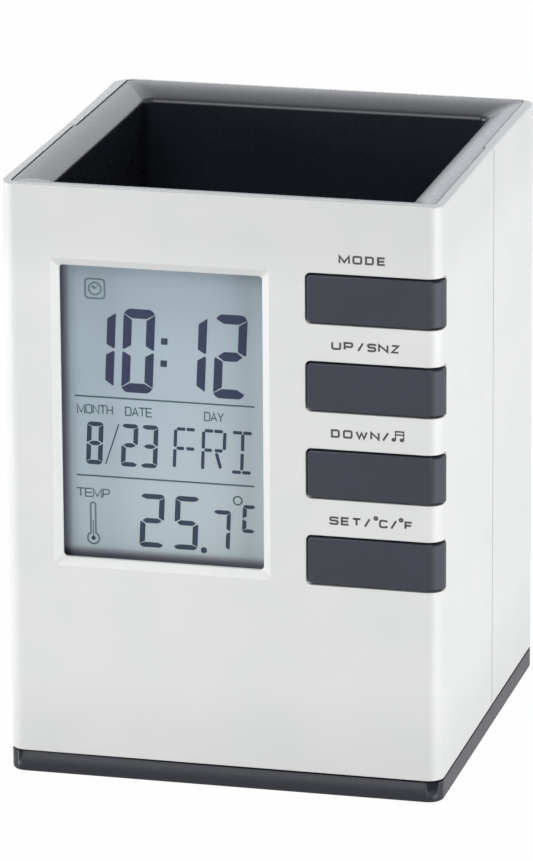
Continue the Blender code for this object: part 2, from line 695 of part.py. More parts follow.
def build_cup(case):
    """The pen cup: a bent rim, a funnel behind the display, and two screw bosses below the floor."""
    rear = RIM_Y_REAR - RIM_WIDTH
    front = RIM_Y_FRONT + RIM_WIDTH
    loops = [
        cup_plan(CUP_X, CUP_X, CUP_FRONT + CUP_WALL, rear, CUP_CORNER, CUP_FLOOR),
        cup_plan(CUP_X, CUP_X, CUP_FRONT + CUP_WALL, rear, CUP_CORNER, FUNNEL_BOTTOM),
    ]
    for out, drop, corner in rim_profile():
        x = CUP_X + out
        y_back = rear + (RIM_Y_BACK - rear) * out / RIM_WIDTH
        loops.append(cup_plan(x, min(x, RIM_X_REAR), front - out, y_back, corner, RIM_TOP - drop))
    for y_back, z in ((RIM_Y_BACK, RIM_TOP - RIM_LIP), (RIM_Y_REAR, RIM_TOP - RIM_LIP - RIM_LIP_SLOPE)):
        loops.append(cup_plan(RIM_X_FRONT, RIM_X_REAR, RIM_Y_FRONT, y_back, RIM_CORNER, z))
    skirt = SKIRT_THICKNESS
    for inset, z in ((0, SKIRT_BOTTOM), (skirt, SKIRT_BOTTOM), (skirt, RIM_TOP - CUP_WALL)):
        y_ends = (RIM_Y_FRONT + inset, RIM_Y_REAR - inset)
        corner = max(RIM_CORNER - inset, INNER_CORNER)
        loops.append(cup_plan(RIM_X_FRONT - inset, RIM_X_REAR - inset, *y_ends, corner, z))
    outer = CUP_X + CUP_WALL
    corner = CUP_CORNER + CUP_WALL
    under = RIM_INNER - CUP_WALL
    y_rear = rear + CUP_WALL
    loops.append(cup_plan(outer, outer, front - CUP_WALL, y_rear, corner, under))
    loops.append(cup_plan(outer, outer, CUP_FRONT, y_rear, corner, FUNNEL_BOTTOM - CUP_WALL))
    loops.append(cup_plan(outer, outer, CUP_FRONT, y_rear, corner, CUP_BOTTOM))
    bm = bmesh.new()
    add_loft(bm, loops)
    cup = make("pen_cup", bm, CUP_ABS, case)

    bosses, bores = bmesh.new(), bmesh.new()
    bore = BASE_SCREW_DIAMETER / 2 + CLEARANCE
    for sign in (-1, 1):
        centre = (sign * CUP_BOSS_X, CUP_BOSS_Y, 0)
        radius = BOSS_DIAMETER / 2
        add_turned(bosses, [(radius, SHELL_BOTTOM), (radius, CUP_BOTTOM + SINK)], "Z", centre)
        span = [(bore, SHELL_BOTTOM - OVERRUN), (bore, SCREW_TIP + CLEARANCE)]
        add_turned(bores, span, "Z", centre, FINE_ROUND_STEPS)
    change(cup, "UNION", "cup_bosses", bosses)
    change(cup, "DIFFERENCE", "cup_bores", bores)


def screw_places():
    """Centres of the base screws: four in the shells' bosses and two in the cup's."""
    places = [(x * SHELL_BOSS_X, y * SHELL_BOSS_Y) for x, y in pin_places()]
    return places + [(-CUP_BOSS_X, CUP_BOSS_Y), (CUP_BOSS_X, CUP_BOSS_Y)]


def build_base(case):
    """The base plate: a band with a lip inside the shells, the battery bay and the screw seats."""
    bm = bmesh.new()
    loops = []
    edge = arc((BASE_EDGE, BASE_BOTTOM + BASE_EDGE), BASE_EDGE, 270, 180, EDGE_STEPS)
    inner = LIP_INSET + LIP_THICKNESS
    for inset, z in (
        *edge,
        (0, BASE_TOP),
        (LIP_INSET, BASE_TOP),
        (LIP_INSET, LIP_TOP),
        (inner, LIP_TOP),
        (inner, FLOOR_TOP),
    ):
        loops.append(box_plan(RIGHT - inset, REAR - inset, CASE_CORNER - inset, z))
    add_loft(bm, loops)
    base = make("base_plate", bm, DARK_ABS, case)

    seats = bmesh.new()
    for x, y in screw_places():
        radius = BOSS_DIAMETER / 2
        add_turned(seats, [(radius, FLOOR_TOP - SINK), (radius, BASE_TOP)], "Z", (x, y, 0))
    change(base, "UNION", "screw_seats", seats)

    bay = bmesh.new()
    half_x = BAY_LENGTH / 2 + BAY_WALL
    half_y = BAY_WIDTH / 2 + BAY_WALL
    add_box(bay, (-half_x, -half_y, FLOOR_TOP - SINK), (half_x, half_y, BAY_TOP))
    change(base, "UNION", "battery_bay", bay)

    hollow = bmesh.new()
    recess_top = BASE_BOTTOM + DOOR_THICKNESS + CLEARANCE
    sections = (
        (RECESS_X, RECESS_Y, BASE_BOTTOM - OVERRUN),
        (RECESS_X, RECESS_Y, recess_top),
        (BAY_LENGTH / 2, BAY_WIDTH / 2, recess_top),
        (BAY_LENGTH / 2, BAY_WIDTH / 2, BAY_CEILING),
    )
    add_loft(hollow, [flat(*section) for section in sections])
    change(base, "DIFFERENCE", "bay_hollow", hollow)

    cuts = bmesh.new()
    head = BASE_SCREW_HEAD_DIAMETER / 2 + CLEARANCE
    shank = BASE_SCREW_DIAMETER / 2 + CLEARANCE
    profile = [
        (head, BASE_BOTTOM - OVERRUN),
        (head, SCREW_SEAT + CLEARANCE),
        (shank, SCREW_SEAT + CLEARANCE),
        (shank, BASE_TOP + OVERRUN),
    ]
    for x, y in screw_places():
        add_turned(cuts, profile, "Z", (x, y, 0), FINE_ROUND_STEPS)
    foot = FOOT_DIAMETER / 2 + CLEARANCE
    for x, y in pin_places():
        span = [(foot, BASE_BOTTOM - OVERRUN), (foot, FOOT_THICKNESS + CLEARANCE)]
        add_turned(cuts, span, "Z", (x * FOOT_X, y * FOOT_Y, 0))
    notch_x = DOOR_TAB_WIDTH / 2 + FINGER_GAP
    low = (-notch_x, -RECESS_Y - DOOR_TAB_LENGTH - FINGER_GAP, BASE_BOTTOM - OVERRUN)
    add_box(cuts, low, (notch_x, -RECESS_Y + SINK, recess_top + CLEARANCE))
    pin = DOOR_PIN_DIAMETER / 2 + CLEARANCE
    reach = RECESS_X + DOOR_PIN_LENGTH + CLEARANCE
    for ends in ((-reach, SINK - RECESS_X), (RECESS_X - SINK, reach)):
        low = (ends[0], HINGE_Y - pin, BASE_BOTTOM - OVERRUN)
        add_box(cuts, low, (ends[1], HINGE_Y + pin, HINGE_Z + pin))
    for y in (-BATTERY_Y, BATTERY_Y):
        half_y = TAB_WIDTH / 2 + CLEARANCE
        half_z = CONTACT_THICKNESS / 2 + CLEARANCE
        low = (BAY_LENGTH / 2 - SINK, y - half_y, BATTERY_HEIGHT - half_z)
        high = (BAY_LENGTH / 2 + BAY_WALL + OVERRUN, y + half_y, BATTERY_HEIGHT + half_z)
        add_box(cuts, low, high)
    change(base, "DIFFERENCE", "base_cuts", cuts)


def build_door(case):
    """The battery door, whose round rear edge turns about the hinge axis at its origin."""
    hinge = stand("battery_door_hinge", None, case, (0, HINGE_Y, HINGE_Z))
    radius = DOOR_THICKNESS / 2
    half_x = RECESS_X - CLEARANCE
    length = HINGE_Y + RECESS_Y - CLEARANCE
    section = arc((0, 0), radius, -90, 90, CORNER_STEPS) + [(-length, radius), (-length, -radius)]
    bm = bmesh.new()
    add_prism(bm, section, -half_x, half_x, "X")
    door = make("battery_door", bm, DARK_ABS, hinge)

    extras = bmesh.new()
    tab = DOOR_TAB_THICKNESS / 2
    low = (-DOOR_TAB_WIDTH / 2, -length - DOOR_TAB_LENGTH, -tab)
    add_box(extras, low, (DOOR_TAB_WIDTH / 2, -length + SINK, tab))
    rib_top = FLOOR_TOP - CLEARANCE - HINGE_Z
    rib_half = BAY_WIDTH / 2 - DOOR_RIB_INSET
    for share in DOOR_RIB_SHARES:
        x = share * half_x
        half = DOOR_RIB_THICKNESS / 2
        low = (x - half, -HINGE_Y - rib_half, radius - SINK)
        add_box(extras, low, (x + half, -HINGE_Y + rib_half, rib_top))
    change(door, "UNION", "door_tab_and_ribs", extras)

    pins = bmesh.new()
    reach = half_x + CLEARANCE + DOOR_PIN_LENGTH
    pin = DOOR_PIN_DIAMETER / 2
    add_turned(pins, [(pin, -reach), (pin, reach)], "X", (0, 0, 0), FINE_ROUND_STEPS)
    change(door, "UNION", "door_pins", pins)


def build_feet(case):
    """Four rubber pads in recesses of the base."""
    radius = FOOT_DIAMETER / 2
    bm = bmesh.new()
    add_turned(bm, [(radius, 0), (radius, FOOT_THICKNESS)])
    mesh = mesh_of("foot", bm)
    mesh.materials.append(new_material("foot_finish", BLACK_RUBBER))
    for number, (x, y) in enumerate(pin_places(), 1):
        stand(f"foot_{number}", mesh, case, (x * FOOT_X, y * FOOT_Y, 0))


def build_key(name, index, case):
    """A key that wraps round the right front corner, with its flange and post, on its slide."""
    z = key_height(index)
    slide = stand(name + "_key_slide", None, case, (SWITCH_X, FRONT, z))
    bm = bmesh.new()
    corner_x = RIGHT - CASE_CORNER - SWITCH_X
    radius = CASE_CORNER + KEY_PROUD
    back = KEY_BACK - FRONT
    face = [(KEY_LEFT - SWITCH_X, -KEY_PROUD)] + arc((corner_x, CASE_CORNER), radius, -90, 0)
    face.append((corner_x + radius, back))
    rows = add_prism(bm, face + [(KEY_LEFT - SWITCH_X, back)], -KEY_HEIGHT / 2, KEY_HEIGHT / 2)
    fronts = [row[: len(face)] for row in rows]
    edges = [bm.edges.get(pair) for row in fronts for pair in zip(row, row[1:])]
    edges.append(bm.edges.get((rows[0][0], rows[1][0])))
    bmesh.ops.bevel(bm, geom=edges, offset=KEY_EDGE, segments=1, profile=0.5, affect="EDGES")
    key = make(name + "_key", bm, DARK_ABS, slide)

    flange = bmesh.new()
    half = KEY_HEIGHT / 2 + KEY_FLANGE
    low = (KEY_LEFT - KEY_FLANGE - SWITCH_X, FLANGE_FRONT - FRONT, -half)
    add_box(flange, low, (corner_x, FLANGE_BACK - FRONT, half))
    change(key, "UNION", name + "_key_flange", flange)

    pocket = bmesh.new()
    face_back = KEY_WALL - KEY_PROUD
    half = KEY_HEIGHT / 2 - KEY_WALL
    low = (KEY_LEFT + KEY_WALL - SWITCH_X, face_back, -half)
    add_box(pocket, low, (corner_x, back + OVERRUN, half))
    change(key, "DIFFERENCE", name + "_key_pocket", pocket)

    post = bmesh.new()
    post_radius = KEY_POST_DIAMETER / 2
    span = [(post_radius, face_back - SINK), (post_radius, POST_BACK - FRONT)]
    add_turned(post, span, "Y", (0, 0, 0), FINE_ROUND_STEPS)
    change(key, "UNION", name + "_key_post", post)
    return slide


def build_switch(name, index, slide, case):
    """The switch behind a key, and the plunger that the key pushes into it."""
    bm = bmesh.new()
    half = SWITCH_WIDTH / 2
    add_box(bm, (-half, 0, -half), (half, SWITCH_HEIGHT, half))
    place = (SWITCH_X, SWITCH_FRONT, key_height(index))
    switch = make(name + "_switch", bm, BLACK_PLASTIC, case, place)
    bore = bmesh.new()
    radius = PLUNGER_DIAMETER / 2
    bore_radius = radius + CLEARANCE
    span = [(bore_radius, -OVERRUN), (bore_radius, SWITCH_BORE_DEPTH)]
    add_turned(bore, span, "Y", (0, 0, 0), FINE_ROUND_STEPS)
    change(switch, "DIFFERENCE", name + "_switch_bore", bore)

    bm = bmesh.new()
    start = PLUNGER_FRONT - FRONT
    end = SWITCH_FRONT + PLUNGER_ENGAGED - FRONT
    add_turned(bm, [(radius, start), (radius, end)], "Y", (0, 0, 0), FINE_ROUND_STEPS)
    make(name + "_plunger", bm, GREY_NYLON, slide)


def build_display(case):
    """Lens, holder, glass, reflector and the two rubber connectors, from the front back."""
    bm = bmesh.new()
    add_loft(bm, [upright(LENS, y) for y in (LENS_FRONT, LENS_BACK)])
    make("display_lens", bm, CLEAR_ACRYLIC, case)

    bm = bmesh.new()
    sections = (
        (HOLDER, HOLDER_FRONT),
        (HOLDER, PARTS_SEAT),
        (POCKET, PARTS_SEAT),
        (POCKET, LIP_BACK),
        (LIP, LIP_BACK),
        (LIP, HOLDER_FRONT),
    )
    add_loft(bm, [upright(rectangle, y) for rectangle, y in sections], ring=True)
    make("lcd_holder", bm, BLACK_PLASTIC, case)

    left, bottom, right, top = GLASS
    short = (left, bottom + GLASS_LEDGE, right, top - GLASS_LEDGE)
    bm = bmesh.new()
    sections = ((GLASS, GLASS_FRONT), (GLASS, GLASS_STEP), (short, GLASS_STEP), (short, GLASS_BACK))
    add_loft(bm, [upright(rectangle, y) for rectangle, y in sections])
    make("lcd_glass", bm, DISPLAY_GLASS, case)

    bm = bmesh.new()
    add_loft(bm, [upright(short, y) for y in (REFLECTOR_FRONT, REFLECTOR_BACK)])
    make("lcd_reflector", bm, REFLECTOR_FILM, case)

    for name, low, high in (("top", short[3], top), ("bottom", bottom, short[1])):
        bm = bmesh.new()
        strip = grown((left, low, right, high), -CLEARANCE)
        add_loft(bm, [upright(strip, y) for y in (GLASS_STEP + CLEARANCE, PARTS_SEAT)])
        make("lcd_connector_" + name, bm, BLACK_RUBBER, case)


def build_board(case):
    """The circuit board, with holes for its screws, and the parts soldered to it."""
    bm = bmesh.new()
    add_box(bm, (BOARD_LEFT, BOARD_FRONT, BOARD_BOTTOM), (BOARD_RIGHT, BOARD_BACK, BOARD_TOP))
    board = make("circuit_board", bm, BOARD_LAMINATE, case)
    holes = bmesh.new()
    radius = BOARD_SCREW_DIAMETER / 2 + CLEARANCE
    for share in BOARD_SCREW_SHARES:
        span = [(radius, BOARD_FRONT - OVERRUN), (radius, BOARD_BACK + OVERRUN)]
        add_turned(holes, span, "Y", (board_x(share), 0, STRIP_MIDDLE), FINE_ROUND_STEPS)
    change(board, "DIFFERENCE", "board_holes", holes)

    bm = bmesh.new()
    radius = BUZZER_DIAMETER / 2
    hole = BUZZER_HOLE_DIAMETER / 2
    profile = [
        (hole, BUZZER_HOLE_DEPTH),
        (hole, 0),
        (radius - BUZZER_EDGE, 0),
        (radius, BUZZER_EDGE),
        (radius, BUZZER_HEIGHT),
    ]
    add_turned(bm, profile, "Y")
    place = (board_x(BUZZER_SHARE), PARTS_SEAT - BUZZER_HEIGHT, STRIP_MIDDLE)
    make("alarm_buzzer", bm, BLACK_PLASTIC, case, place)

    bm = bmesh.new()
    dome = [
        (CHIP_DIAMETER / 2 * math.cos(angle), CHIP_HEIGHT * math.sin(angle))
        for angle in (math.radians(degrees) for degrees in (0, 25, 50, 75))
    ]
    add_turned(bm, dome, "Y")
    middle = (OPENING[0] + OPENING[2]) / 2
    rise = OPENING[3] - OPENING[1]
    place = (middle, BACK_SEAT, OPENING[1] + CHIP_RISE_SHARE * rise)
    make("clock_chip_cover", bm, BLACK_EPOXY, case, place)

    for name, finish, size, place in (
        (
            "timing_crystal",
            BRIGHT_STEEL,
            (CRYSTAL_DIAMETER, CRYSTAL_LENGTH, CRYSTAL_EDGE),
            (middle, BACK_SEAT + CRYSTAL_DIAMETER / 2, OPENING[1] + CRYSTAL_RISE_SHARE * rise),
        ),
        (
            "temperature_sensor",
            BLACK_EPOXY,
            (SENSOR_DIAMETER, SENSOR_LENGTH, SENSOR_EDGE),
            (board_x(SENSOR_SHARE), PARTS_SEAT - SENSOR_DIAMETER / 2, STRIP_MIDDLE),
        ),
    ):
        diameter, length, edge = size
        bm = bmesh.new()
        radius = diameter / 2
        profile = [
            (radius - edge, -length / 2),
            (radius, edge - length / 2),
            (radius, length / 2 - edge),
            (radius - edge, length / 2),
        ]
        add_turned(bm, profile, "X", (0, 0, 0), FINE_ROUND_STEPS)
        make(name, bm, finish, case, place)


def socket_place():
    """Middle of the battery socket's lower face."""
    return board_x(SOCKET_SHARE), PARTS_SEAT - SOCKET_DEPTH / 2, BOARD_BOTTOM


def build_socket(case):
    """The socket that the two battery leads go into from below."""
    bm = bmesh.new()
    low = (-SOCKET_WIDTH / 2, -SOCKET_DEPTH / 2, 0)
    add_box(bm, low, (SOCKET_WIDTH / 2, SOCKET_DEPTH / 2, SOCKET_HEIGHT))
    socket = make("battery_socket", bm, WHITE_NYLON, case, socket_place())
    holes = bmesh.new()
    radius = LEAD_DIAMETER / 2 + CLEARANCE
    for x in (-SOCKET_PITCH / 2, SOCKET_PITCH / 2):
        span = [(radius, -OVERRUN), (radius, SOCKET_HOLE_DEPTH)]
        add_turned(holes, span, "Z", (x, 0, 0), FINE_ROUND_STEPS)
    change(socket, "DIFFERENCE", "battery_socket_holes", holes)


def screw_mesh(name, diameter, length, head_diameter, head_height):
    """A screw along +Z, with its seat at zero and its head below."""
    bm = bmesh.new()
    radius = diameter / 2
    head = head_diameter / 2
    round_off = head_height / 3
    profile = [
        (head - round_off, -head_height),
        (head, round_off - head_height),
        (head, 0),
        (radius, 0),
        (radius, length - SCREW_TIP_LENGTH),
        (radius / 3, length),
    ]
    add_turned(bm, profile, "Z", (0, 0, 0), FINE_ROUND_STEPS)
    mesh = mesh_of(name, bm)
    mesh.materials.append(new_material(name + "_finish", BRIGHT_STEEL))
    return mesh


def add_screws(name, sizes, places, turn, case):
    """Copies of one screw, each with a cross cut into its head."""
    mesh = screw_mesh(name, *sizes)
    head_diameter, head_height = sizes[2], sizes[3]
    span = CROSS_SPAN_SHARE * head_diameter / 2
    arm = CROSS_WIDTH_SHARE * head_diameter / 2
    cross = [
        (span, -arm),
        (span, arm),
        (arm, arm),
        (arm, span),
        (-arm, span),
        (-arm, arm),
        (-span, arm),
        (-span, -arm),
        (-arm, -arm),
        (-arm, -span),
        (arm, -span),
        (arm, -arm),
    ]
    for number, place in enumerate(places, 1):
        screw = stand(f"{name}_{number}", mesh, case, place, turn)
        bm = bmesh.new()
        deep = CROSS_DEPTH_SHARE * head_height - head_height
        add_prism(bm, cross, -head_height - OVERRUN, deep)
        change(screw, "DIFFERENCE", f"{name}_{number}_cross", bm)


def build_screws(case):
    """The six base screws and the two board screws."""
    sizes = (
        BASE_SCREW_DIAMETER,
        BASE_SCREW_LENGTH,
        BASE_SCREW_HEAD_DIAMETER,
        BASE_SCREW_HEAD_HEIGHT,
    )
    places = [(x, y, SCREW_SEAT) for x, y in screw_places()]
    add_screws("base_screw", sizes, places, (0, 0, 0), case)
    sizes = (
        BOARD_SCREW_DIAMETER,
        BOARD_SCREW_LENGTH,
        BOARD_SCREW_HEAD_DIAMETER,
        BOARD_SCREW_HEAD_HEIGHT,
    )
    places = [(board_x(share), BACK_SEAT, STRIP_MIDDLE) for share in BOARD_SCREW_SHARES]
    add_screws("board_screw", sizes, places, (math.radians(90), 0, 0), case)


def build_batteries(case):
    """Two cells side by side, lying opposite ways, with the raised end at +X of the second."""
    bm = bmesh.new()
    radius = BATTERY_DIAMETER / 2
    nub = NUB_DIAMETER / 2
    shoulder = BATTERY_LENGTH - NUB_LENGTH
    profile = [
        (radius - BATTERY_EDGE, 0),
        (radius, BATTERY_EDGE),
        (radius, shoulder - BATTERY_EDGE),
        (radius - BATTERY_EDGE, shoulder),
        (nub, shoulder),
        (nub, BATTERY_LENGTH),
    ]
    add_turned(bm, profile, "X")
    mesh = mesh_of("battery", bm)
    mesh.materials.append(new_material("battery_finish", CELL_JACKET))
    spring_end = BAY_LENGTH / 2 - 3 * CLEARANCE - CONTACT_THICKNESS - SPRING_LENGTH
    turn = (0, 0, math.radians(180))
    stand("battery_1", mesh, case, (spring_end, -BATTERY_Y, BATTERY_HEIGHT), turn)
    stand("battery_2", mesh, case, (-spring_end, BATTERY_Y, BATTERY_HEIGHT))


def contact_box(bm, x, y_low, y_high):
    """A contact plate that stands across the bay, from one X outwards to +X."""
    half = CONTACT_HEIGHT / 2
    low = (x, y_low, BATTERY_HEIGHT - half)
    add_box(bm, low, (x + CONTACT_THICKNESS, y_high, BATTERY_HEIGHT + half))


def build_contacts(case):
    """Two single plates with solder tabs, the bridge at the other end, and the two springs."""
    inner = BAY_LENGTH / 2 - CLEARANCE - CONTACT_THICKNESS
    half = CONTACT_WIDTH / 2
    for name, y in (("negative", -BATTERY_Y), ("positive", BATTERY_Y)):
        bm = bmesh.new()
        contact_box(bm, inner, y - half, y + half)
        plate = make("contact_plate_" + name, bm, NICKEL_PLATE, case)
        tab = bmesh.new()
        half_z = CONTACT_THICKNESS / 2
        low = (inner + CONTACT_THICKNESS / 2, y - TAB_WIDTH / 2, BATTERY_HEIGHT - half_z)
        end = BAY_LENGTH / 2 + BAY_WALL + TAB_REACH
        add_box(tab, low, (end, y + TAB_WIDTH / 2, BATTERY_HEIGHT + half_z))
        change(plate, "UNION", f"contact_{name}_tab", tab)

    bm = bmesh.new()
    contact_box(bm, -inner - CONTACT_THICKNESS, -BATTERY_Y - half, BATTERY_Y + half)
    make("contact_bridge", bm, NICKEL_PLATE, case)

    spring_seat = inner - CLEARANCE
    half_turn = (0, 0, math.radians(180))
    build_spring("battery_spring_1", (spring_seat, -BATTERY_Y, BATTERY_HEIGHT), half_turn, case)
    build_spring("battery_spring_2", (-spring_seat, BATTERY_Y, BATTERY_HEIGHT), (0, 0, 0), case)


def tube(name, points, diameter, resolution, finish, parent, place=(0, 0, 0), turn=(0, 0, 0)):
    """A round wire along points, with closed ends."""
    curve = bpy.data.curves.new(name, "CURVE")
    curve.dimensions = "3D"
    curve.bevel_depth = diameter / 2
    curve.bevel_resolution = resolution
    curve.use_fill_caps = True
    line = curve.splines.new("POLY")
    line.points.add(len(points) - 1)
    for point, position in zip(line.points, points):
        point.co = (*position, 1.0)
    curve.materials.append(new_material(name + "_finish", finish))
    return stand(name, curve, parent, place, turn)


def build_spring(name, place, turn, case):
    """A conical coil along +X, wide where it stands on its plate."""
    count = SPRING_TURNS * SPRING_POINTS_PER_TURN
    length = SPRING_LENGTH - SPRING_WIRE
    points = []
    for i in range(count + 1):
        share = i / count
        angle = math.tau * SPRING_TURNS * share
        radius = (SPRING_WIDE + share * (SPRING_NARROW - SPRING_WIDE) - SPRING_WIRE) / 2
        along = SPRING_WIRE / 2 + share * length
        points.append((along, radius * math.cos(angle), radius * math.sin(angle)))
    tube(name, points, SPRING_WIRE, 1, NICKEL_PLATE, case, place, turn)


def smooth_line(points, spacing):
    """Points at an even spacing along a smooth curve through the given ones."""
    points = [Vector(point) for point in points]
    padded = [2 * points[0] - points[1]] + points + [2 * points[-1] - points[-2]]
    fine = []
    for a, b, c, d in zip(padded, padded[1:], padded[2:], padded[3:]):
        steps = max(int((c - b).length / spacing), 1)
        for i in range(steps):
            t = i / steps
            curve = 2 * b + (c - a) * t + (2 * a - 5 * b + 4 * c - d) * t**2
            fine.append((curve + (3 * b - a - 3 * c + d) * t**3) / 2)
    return fine + [points[-1]]


def build_leads(case):
    """The black and red leads, from the solder tabs forwards and up into the socket."""
    tab_x = BAY_LENGTH / 2 + BAY_WALL + TAB_REACH - LEAD_DIAMETER / 2 - CLEARANCE
    tab_top = BATTERY_HEIGHT + CONTACT_THICKNESS / 2 + CLEARANCE
    socket_x, socket_y, socket_z = socket_place()
    end_z = socket_z + SOCKET_HOLE_DEPTH - CLEARANCE
    for name, finish, side in (("black", BLACK_WIRE, -1), ("red", RED_WIRE, 1)):
        start_y = side * BATTERY_Y
        run_z = tab_top + (2 + side) * LEAD_RISE
        run_x = tab_x + (1 + side) / 2 * LEAD_SPACING
        end_x = socket_x + side * SOCKET_PITCH / 2
        turn_y = (socket_y - BATTERY_Y) / 2
        points = [
            (tab_x, start_y, tab_top),
            (tab_x, start_y, tab_top + LEAD_DIAMETER),
            (run_x, start_y - LEAD_SPACING, run_z),
            (run_x, turn_y, run_z),
            (end_x, socket_y, run_z + LEAD_SPACING),
            (end_x, socket_y, socket_z - LEAD_SPACING),
            (end_x, socket_y, end_z),
        ]
        line = smooth_line(points, LEAD_SPACING)
        tube("battery_lead_" + name, line, LEAD_DIAMETER, 2, finish, case)


def build_clock():
    """Every piece of the clock, under one empty at the middle of its underside."""
    case = stand("clock", None, None)
    build_front_shell(case)
    build_rear_shell(case)
    build_cup(case)
    build_base(case)
    build_door(case)
    build_feet(case)
    for index, name in enumerate(KEY_NAMES):
        slide = build_key(name, index, case)
        build_switch(name, index, slide, case)
    build_display(case)
    build_board(case)
    build_socket(case)
    build_screws(case)
    build_batteries(case)
    build_contacts(case)
    build_leads(case)


for leftover in list(bpy.data.objects):
    bpy.data.objects.remove(leftover)
build_clock()
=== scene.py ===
"""Dresses a desk clock with a pen cup: silver painted case, dark cup, base and keys, and a grey display.

Sizes in the classes are in millimetres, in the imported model's own frame: the origin is under the middle
of the base, X points right, Z up, and the front face looks towards -Y. Meshes are made in metres.
"""

import json
import logging
import math
from collections.abc import Callable, Iterable, Sequence
from dataclasses import dataclass, field, replace
from enum import Enum

import bmesh
import bpy
from mathutils import Matrix, Vector

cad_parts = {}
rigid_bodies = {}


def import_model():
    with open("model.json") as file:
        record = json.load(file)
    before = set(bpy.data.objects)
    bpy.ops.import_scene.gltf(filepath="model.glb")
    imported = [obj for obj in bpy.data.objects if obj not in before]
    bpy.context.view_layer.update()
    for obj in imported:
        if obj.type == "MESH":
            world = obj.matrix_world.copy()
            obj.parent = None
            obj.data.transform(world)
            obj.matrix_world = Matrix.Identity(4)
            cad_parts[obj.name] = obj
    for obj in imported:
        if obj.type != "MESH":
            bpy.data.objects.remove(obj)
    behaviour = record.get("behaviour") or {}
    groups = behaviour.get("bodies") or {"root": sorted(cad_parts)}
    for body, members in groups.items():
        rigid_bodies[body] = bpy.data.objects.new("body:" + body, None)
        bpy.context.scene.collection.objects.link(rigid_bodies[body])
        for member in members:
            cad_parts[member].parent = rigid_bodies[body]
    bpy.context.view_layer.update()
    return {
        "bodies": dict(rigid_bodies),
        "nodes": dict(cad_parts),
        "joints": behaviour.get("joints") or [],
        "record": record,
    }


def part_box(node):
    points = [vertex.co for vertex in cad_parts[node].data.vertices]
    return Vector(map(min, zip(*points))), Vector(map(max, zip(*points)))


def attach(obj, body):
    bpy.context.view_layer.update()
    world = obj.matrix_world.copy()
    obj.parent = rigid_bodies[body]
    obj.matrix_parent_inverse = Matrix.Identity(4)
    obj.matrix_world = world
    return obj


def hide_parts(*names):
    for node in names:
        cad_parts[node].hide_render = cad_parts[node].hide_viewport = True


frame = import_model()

LOG = logging.getLogger("desk_clock")
MM = 0.001

Point = tuple[float, float]
Triple = tuple[float, float, float]
Outline = list[Point]
Stops = tuple[Point, ...]
Values = dict[str | int, object]
EdgeTest = Callable[[Vector, Vector], bool]
Tree = bpy.types.NodeTree
Socket = bpy.types.NodeSocket

WHITE = (1.0, 1.0, 1.0, 1.0)
BLACK = (0.0, 0.0, 0.0, 1.0)

# Tests that choose edges, in millimetres: the same place, on a flat face, on a round one, and through a wall
SAME = 0.01
ON_FLAT = 0.02
ON_ROUND = 0.05
THROUGH = 0.5

# In a copied node, points closer than this in millimetres become one, as do faces that turn by fewer degrees
WELD = 0.002
FLUSH = 0.6

# A direction that comes out shorter than this has none
TINY = 1e-6


def linear(code: str) -> tuple[float, float, float, float]:
    """Turns an sRGB colour to linear light.

    Args:
        code: the colour as six hex digits, such as "E2E3E3"

    Returns:
        red, green, blue and an alpha of 1
    """
    parts = []
    for start in (0, 2, 4):
        value = int(code[start : start + 2], 16) / 255
        parts.append(value / 12.92 if value <= 0.04045 else ((value + 0.055) / 1.055) ** 2.4)
    return parts[0], parts[1], parts[2], 1.0


def add_node(
    tree: Tree, kind: str, settings: Values | None = None, inputs: Values | None = None
) -> bpy.types.Node:
    """Adds one node with its settings and links.

    Args:
        tree: the node tree that gets the node
        kind: Blender's name for the kind of node
        settings: the node's own properties and their values
        inputs: for each input, by name or number, its value or the output that feeds it

    Returns:
        the new node
    """
    node = tree.nodes.new(kind)
    for name, value in (settings or {}).items():
        setattr(node, name, value)
    for name, value in (inputs or {}).items():
        if isinstance(value, Socket):
            tree.links.new(value, node.inputs[name])
        else:
            node.inputs[name].default_value = value
    return node


class Slot(Enum):
    """The record's material slots."""

    SILVER_PAINT = "silver_paint"
    DARK_ABS = "dark_abs"
    CUP_ABS = "cup_abs"
    CLEAR_ACRYLIC = "clear_acrylic"
    DISPLAY_GLASS = "display_glass"
    REFLECTOR_FILM = "reflector_film"
    BLACK_RUBBER = "black_rubber"
    BOARD_LAMINATE = "board_laminate"
    BLACK_EPOXY = "black_epoxy"
    BRIGHT_STEEL = "bright_steel"
    NICKEL_PLATE = "nickel_plate"
    BLACK_PLASTIC = "black_plastic"
    WHITE_NYLON = "white_nylon"
    GREY_NYLON = "grey_nylon"
    CELL_JACKET = "cell_jacket"
    RED_WIRE = "red_wire"
    BLACK_WIRE = "black_wire"


@dataclass(frozen=True)
class Speckle:
    """An even random pattern of a real size.

    Fields:
        spacing: millimetres from one spot to the next
        low: its value between the spots
        high: its value on the spots
        stretch: how many times longer the spots are along X, Y and Z
        span: the part of Blender's noise that gives the low to the high value, since most of it lies there
    """

    spacing: float
    low: float = 0.0
    high: float = 1.0
    stretch: Triple = (1.0, 1.0, 1.0)
    span: tuple[float, float] = (0.3, 0.7)

    def value(self, tree: Tree) -> Socket:
        """Adds the pattern's nodes.

        Args:
            tree: the material's node tree

        Returns:
            the output that carries the pattern
        """
        place = add_node(tree, "ShaderNodeTexCoord").outputs["Object"]
        scale = tuple(1 / (self.spacing * MM * s) for s in self.stretch)
        place = add_node(tree, "ShaderNodeMapping", inputs={"Vector": place, "Scale": scale}).outputs[0]
        noise = {"Vector": place, "Scale": 1.0, "Detail": 2.0}
        spots = add_node(tree, "ShaderNodeTexNoise", inputs=noise).outputs["Fac"]
        spread = {"Value": spots, "From Min": self.span[0], "From Max": self.span[1]}
        spread |= {"To Min": self.low, "To Max": self.high}
        return add_node(tree, "ShaderNodeMapRange", inputs=spread).outputs["Result"]


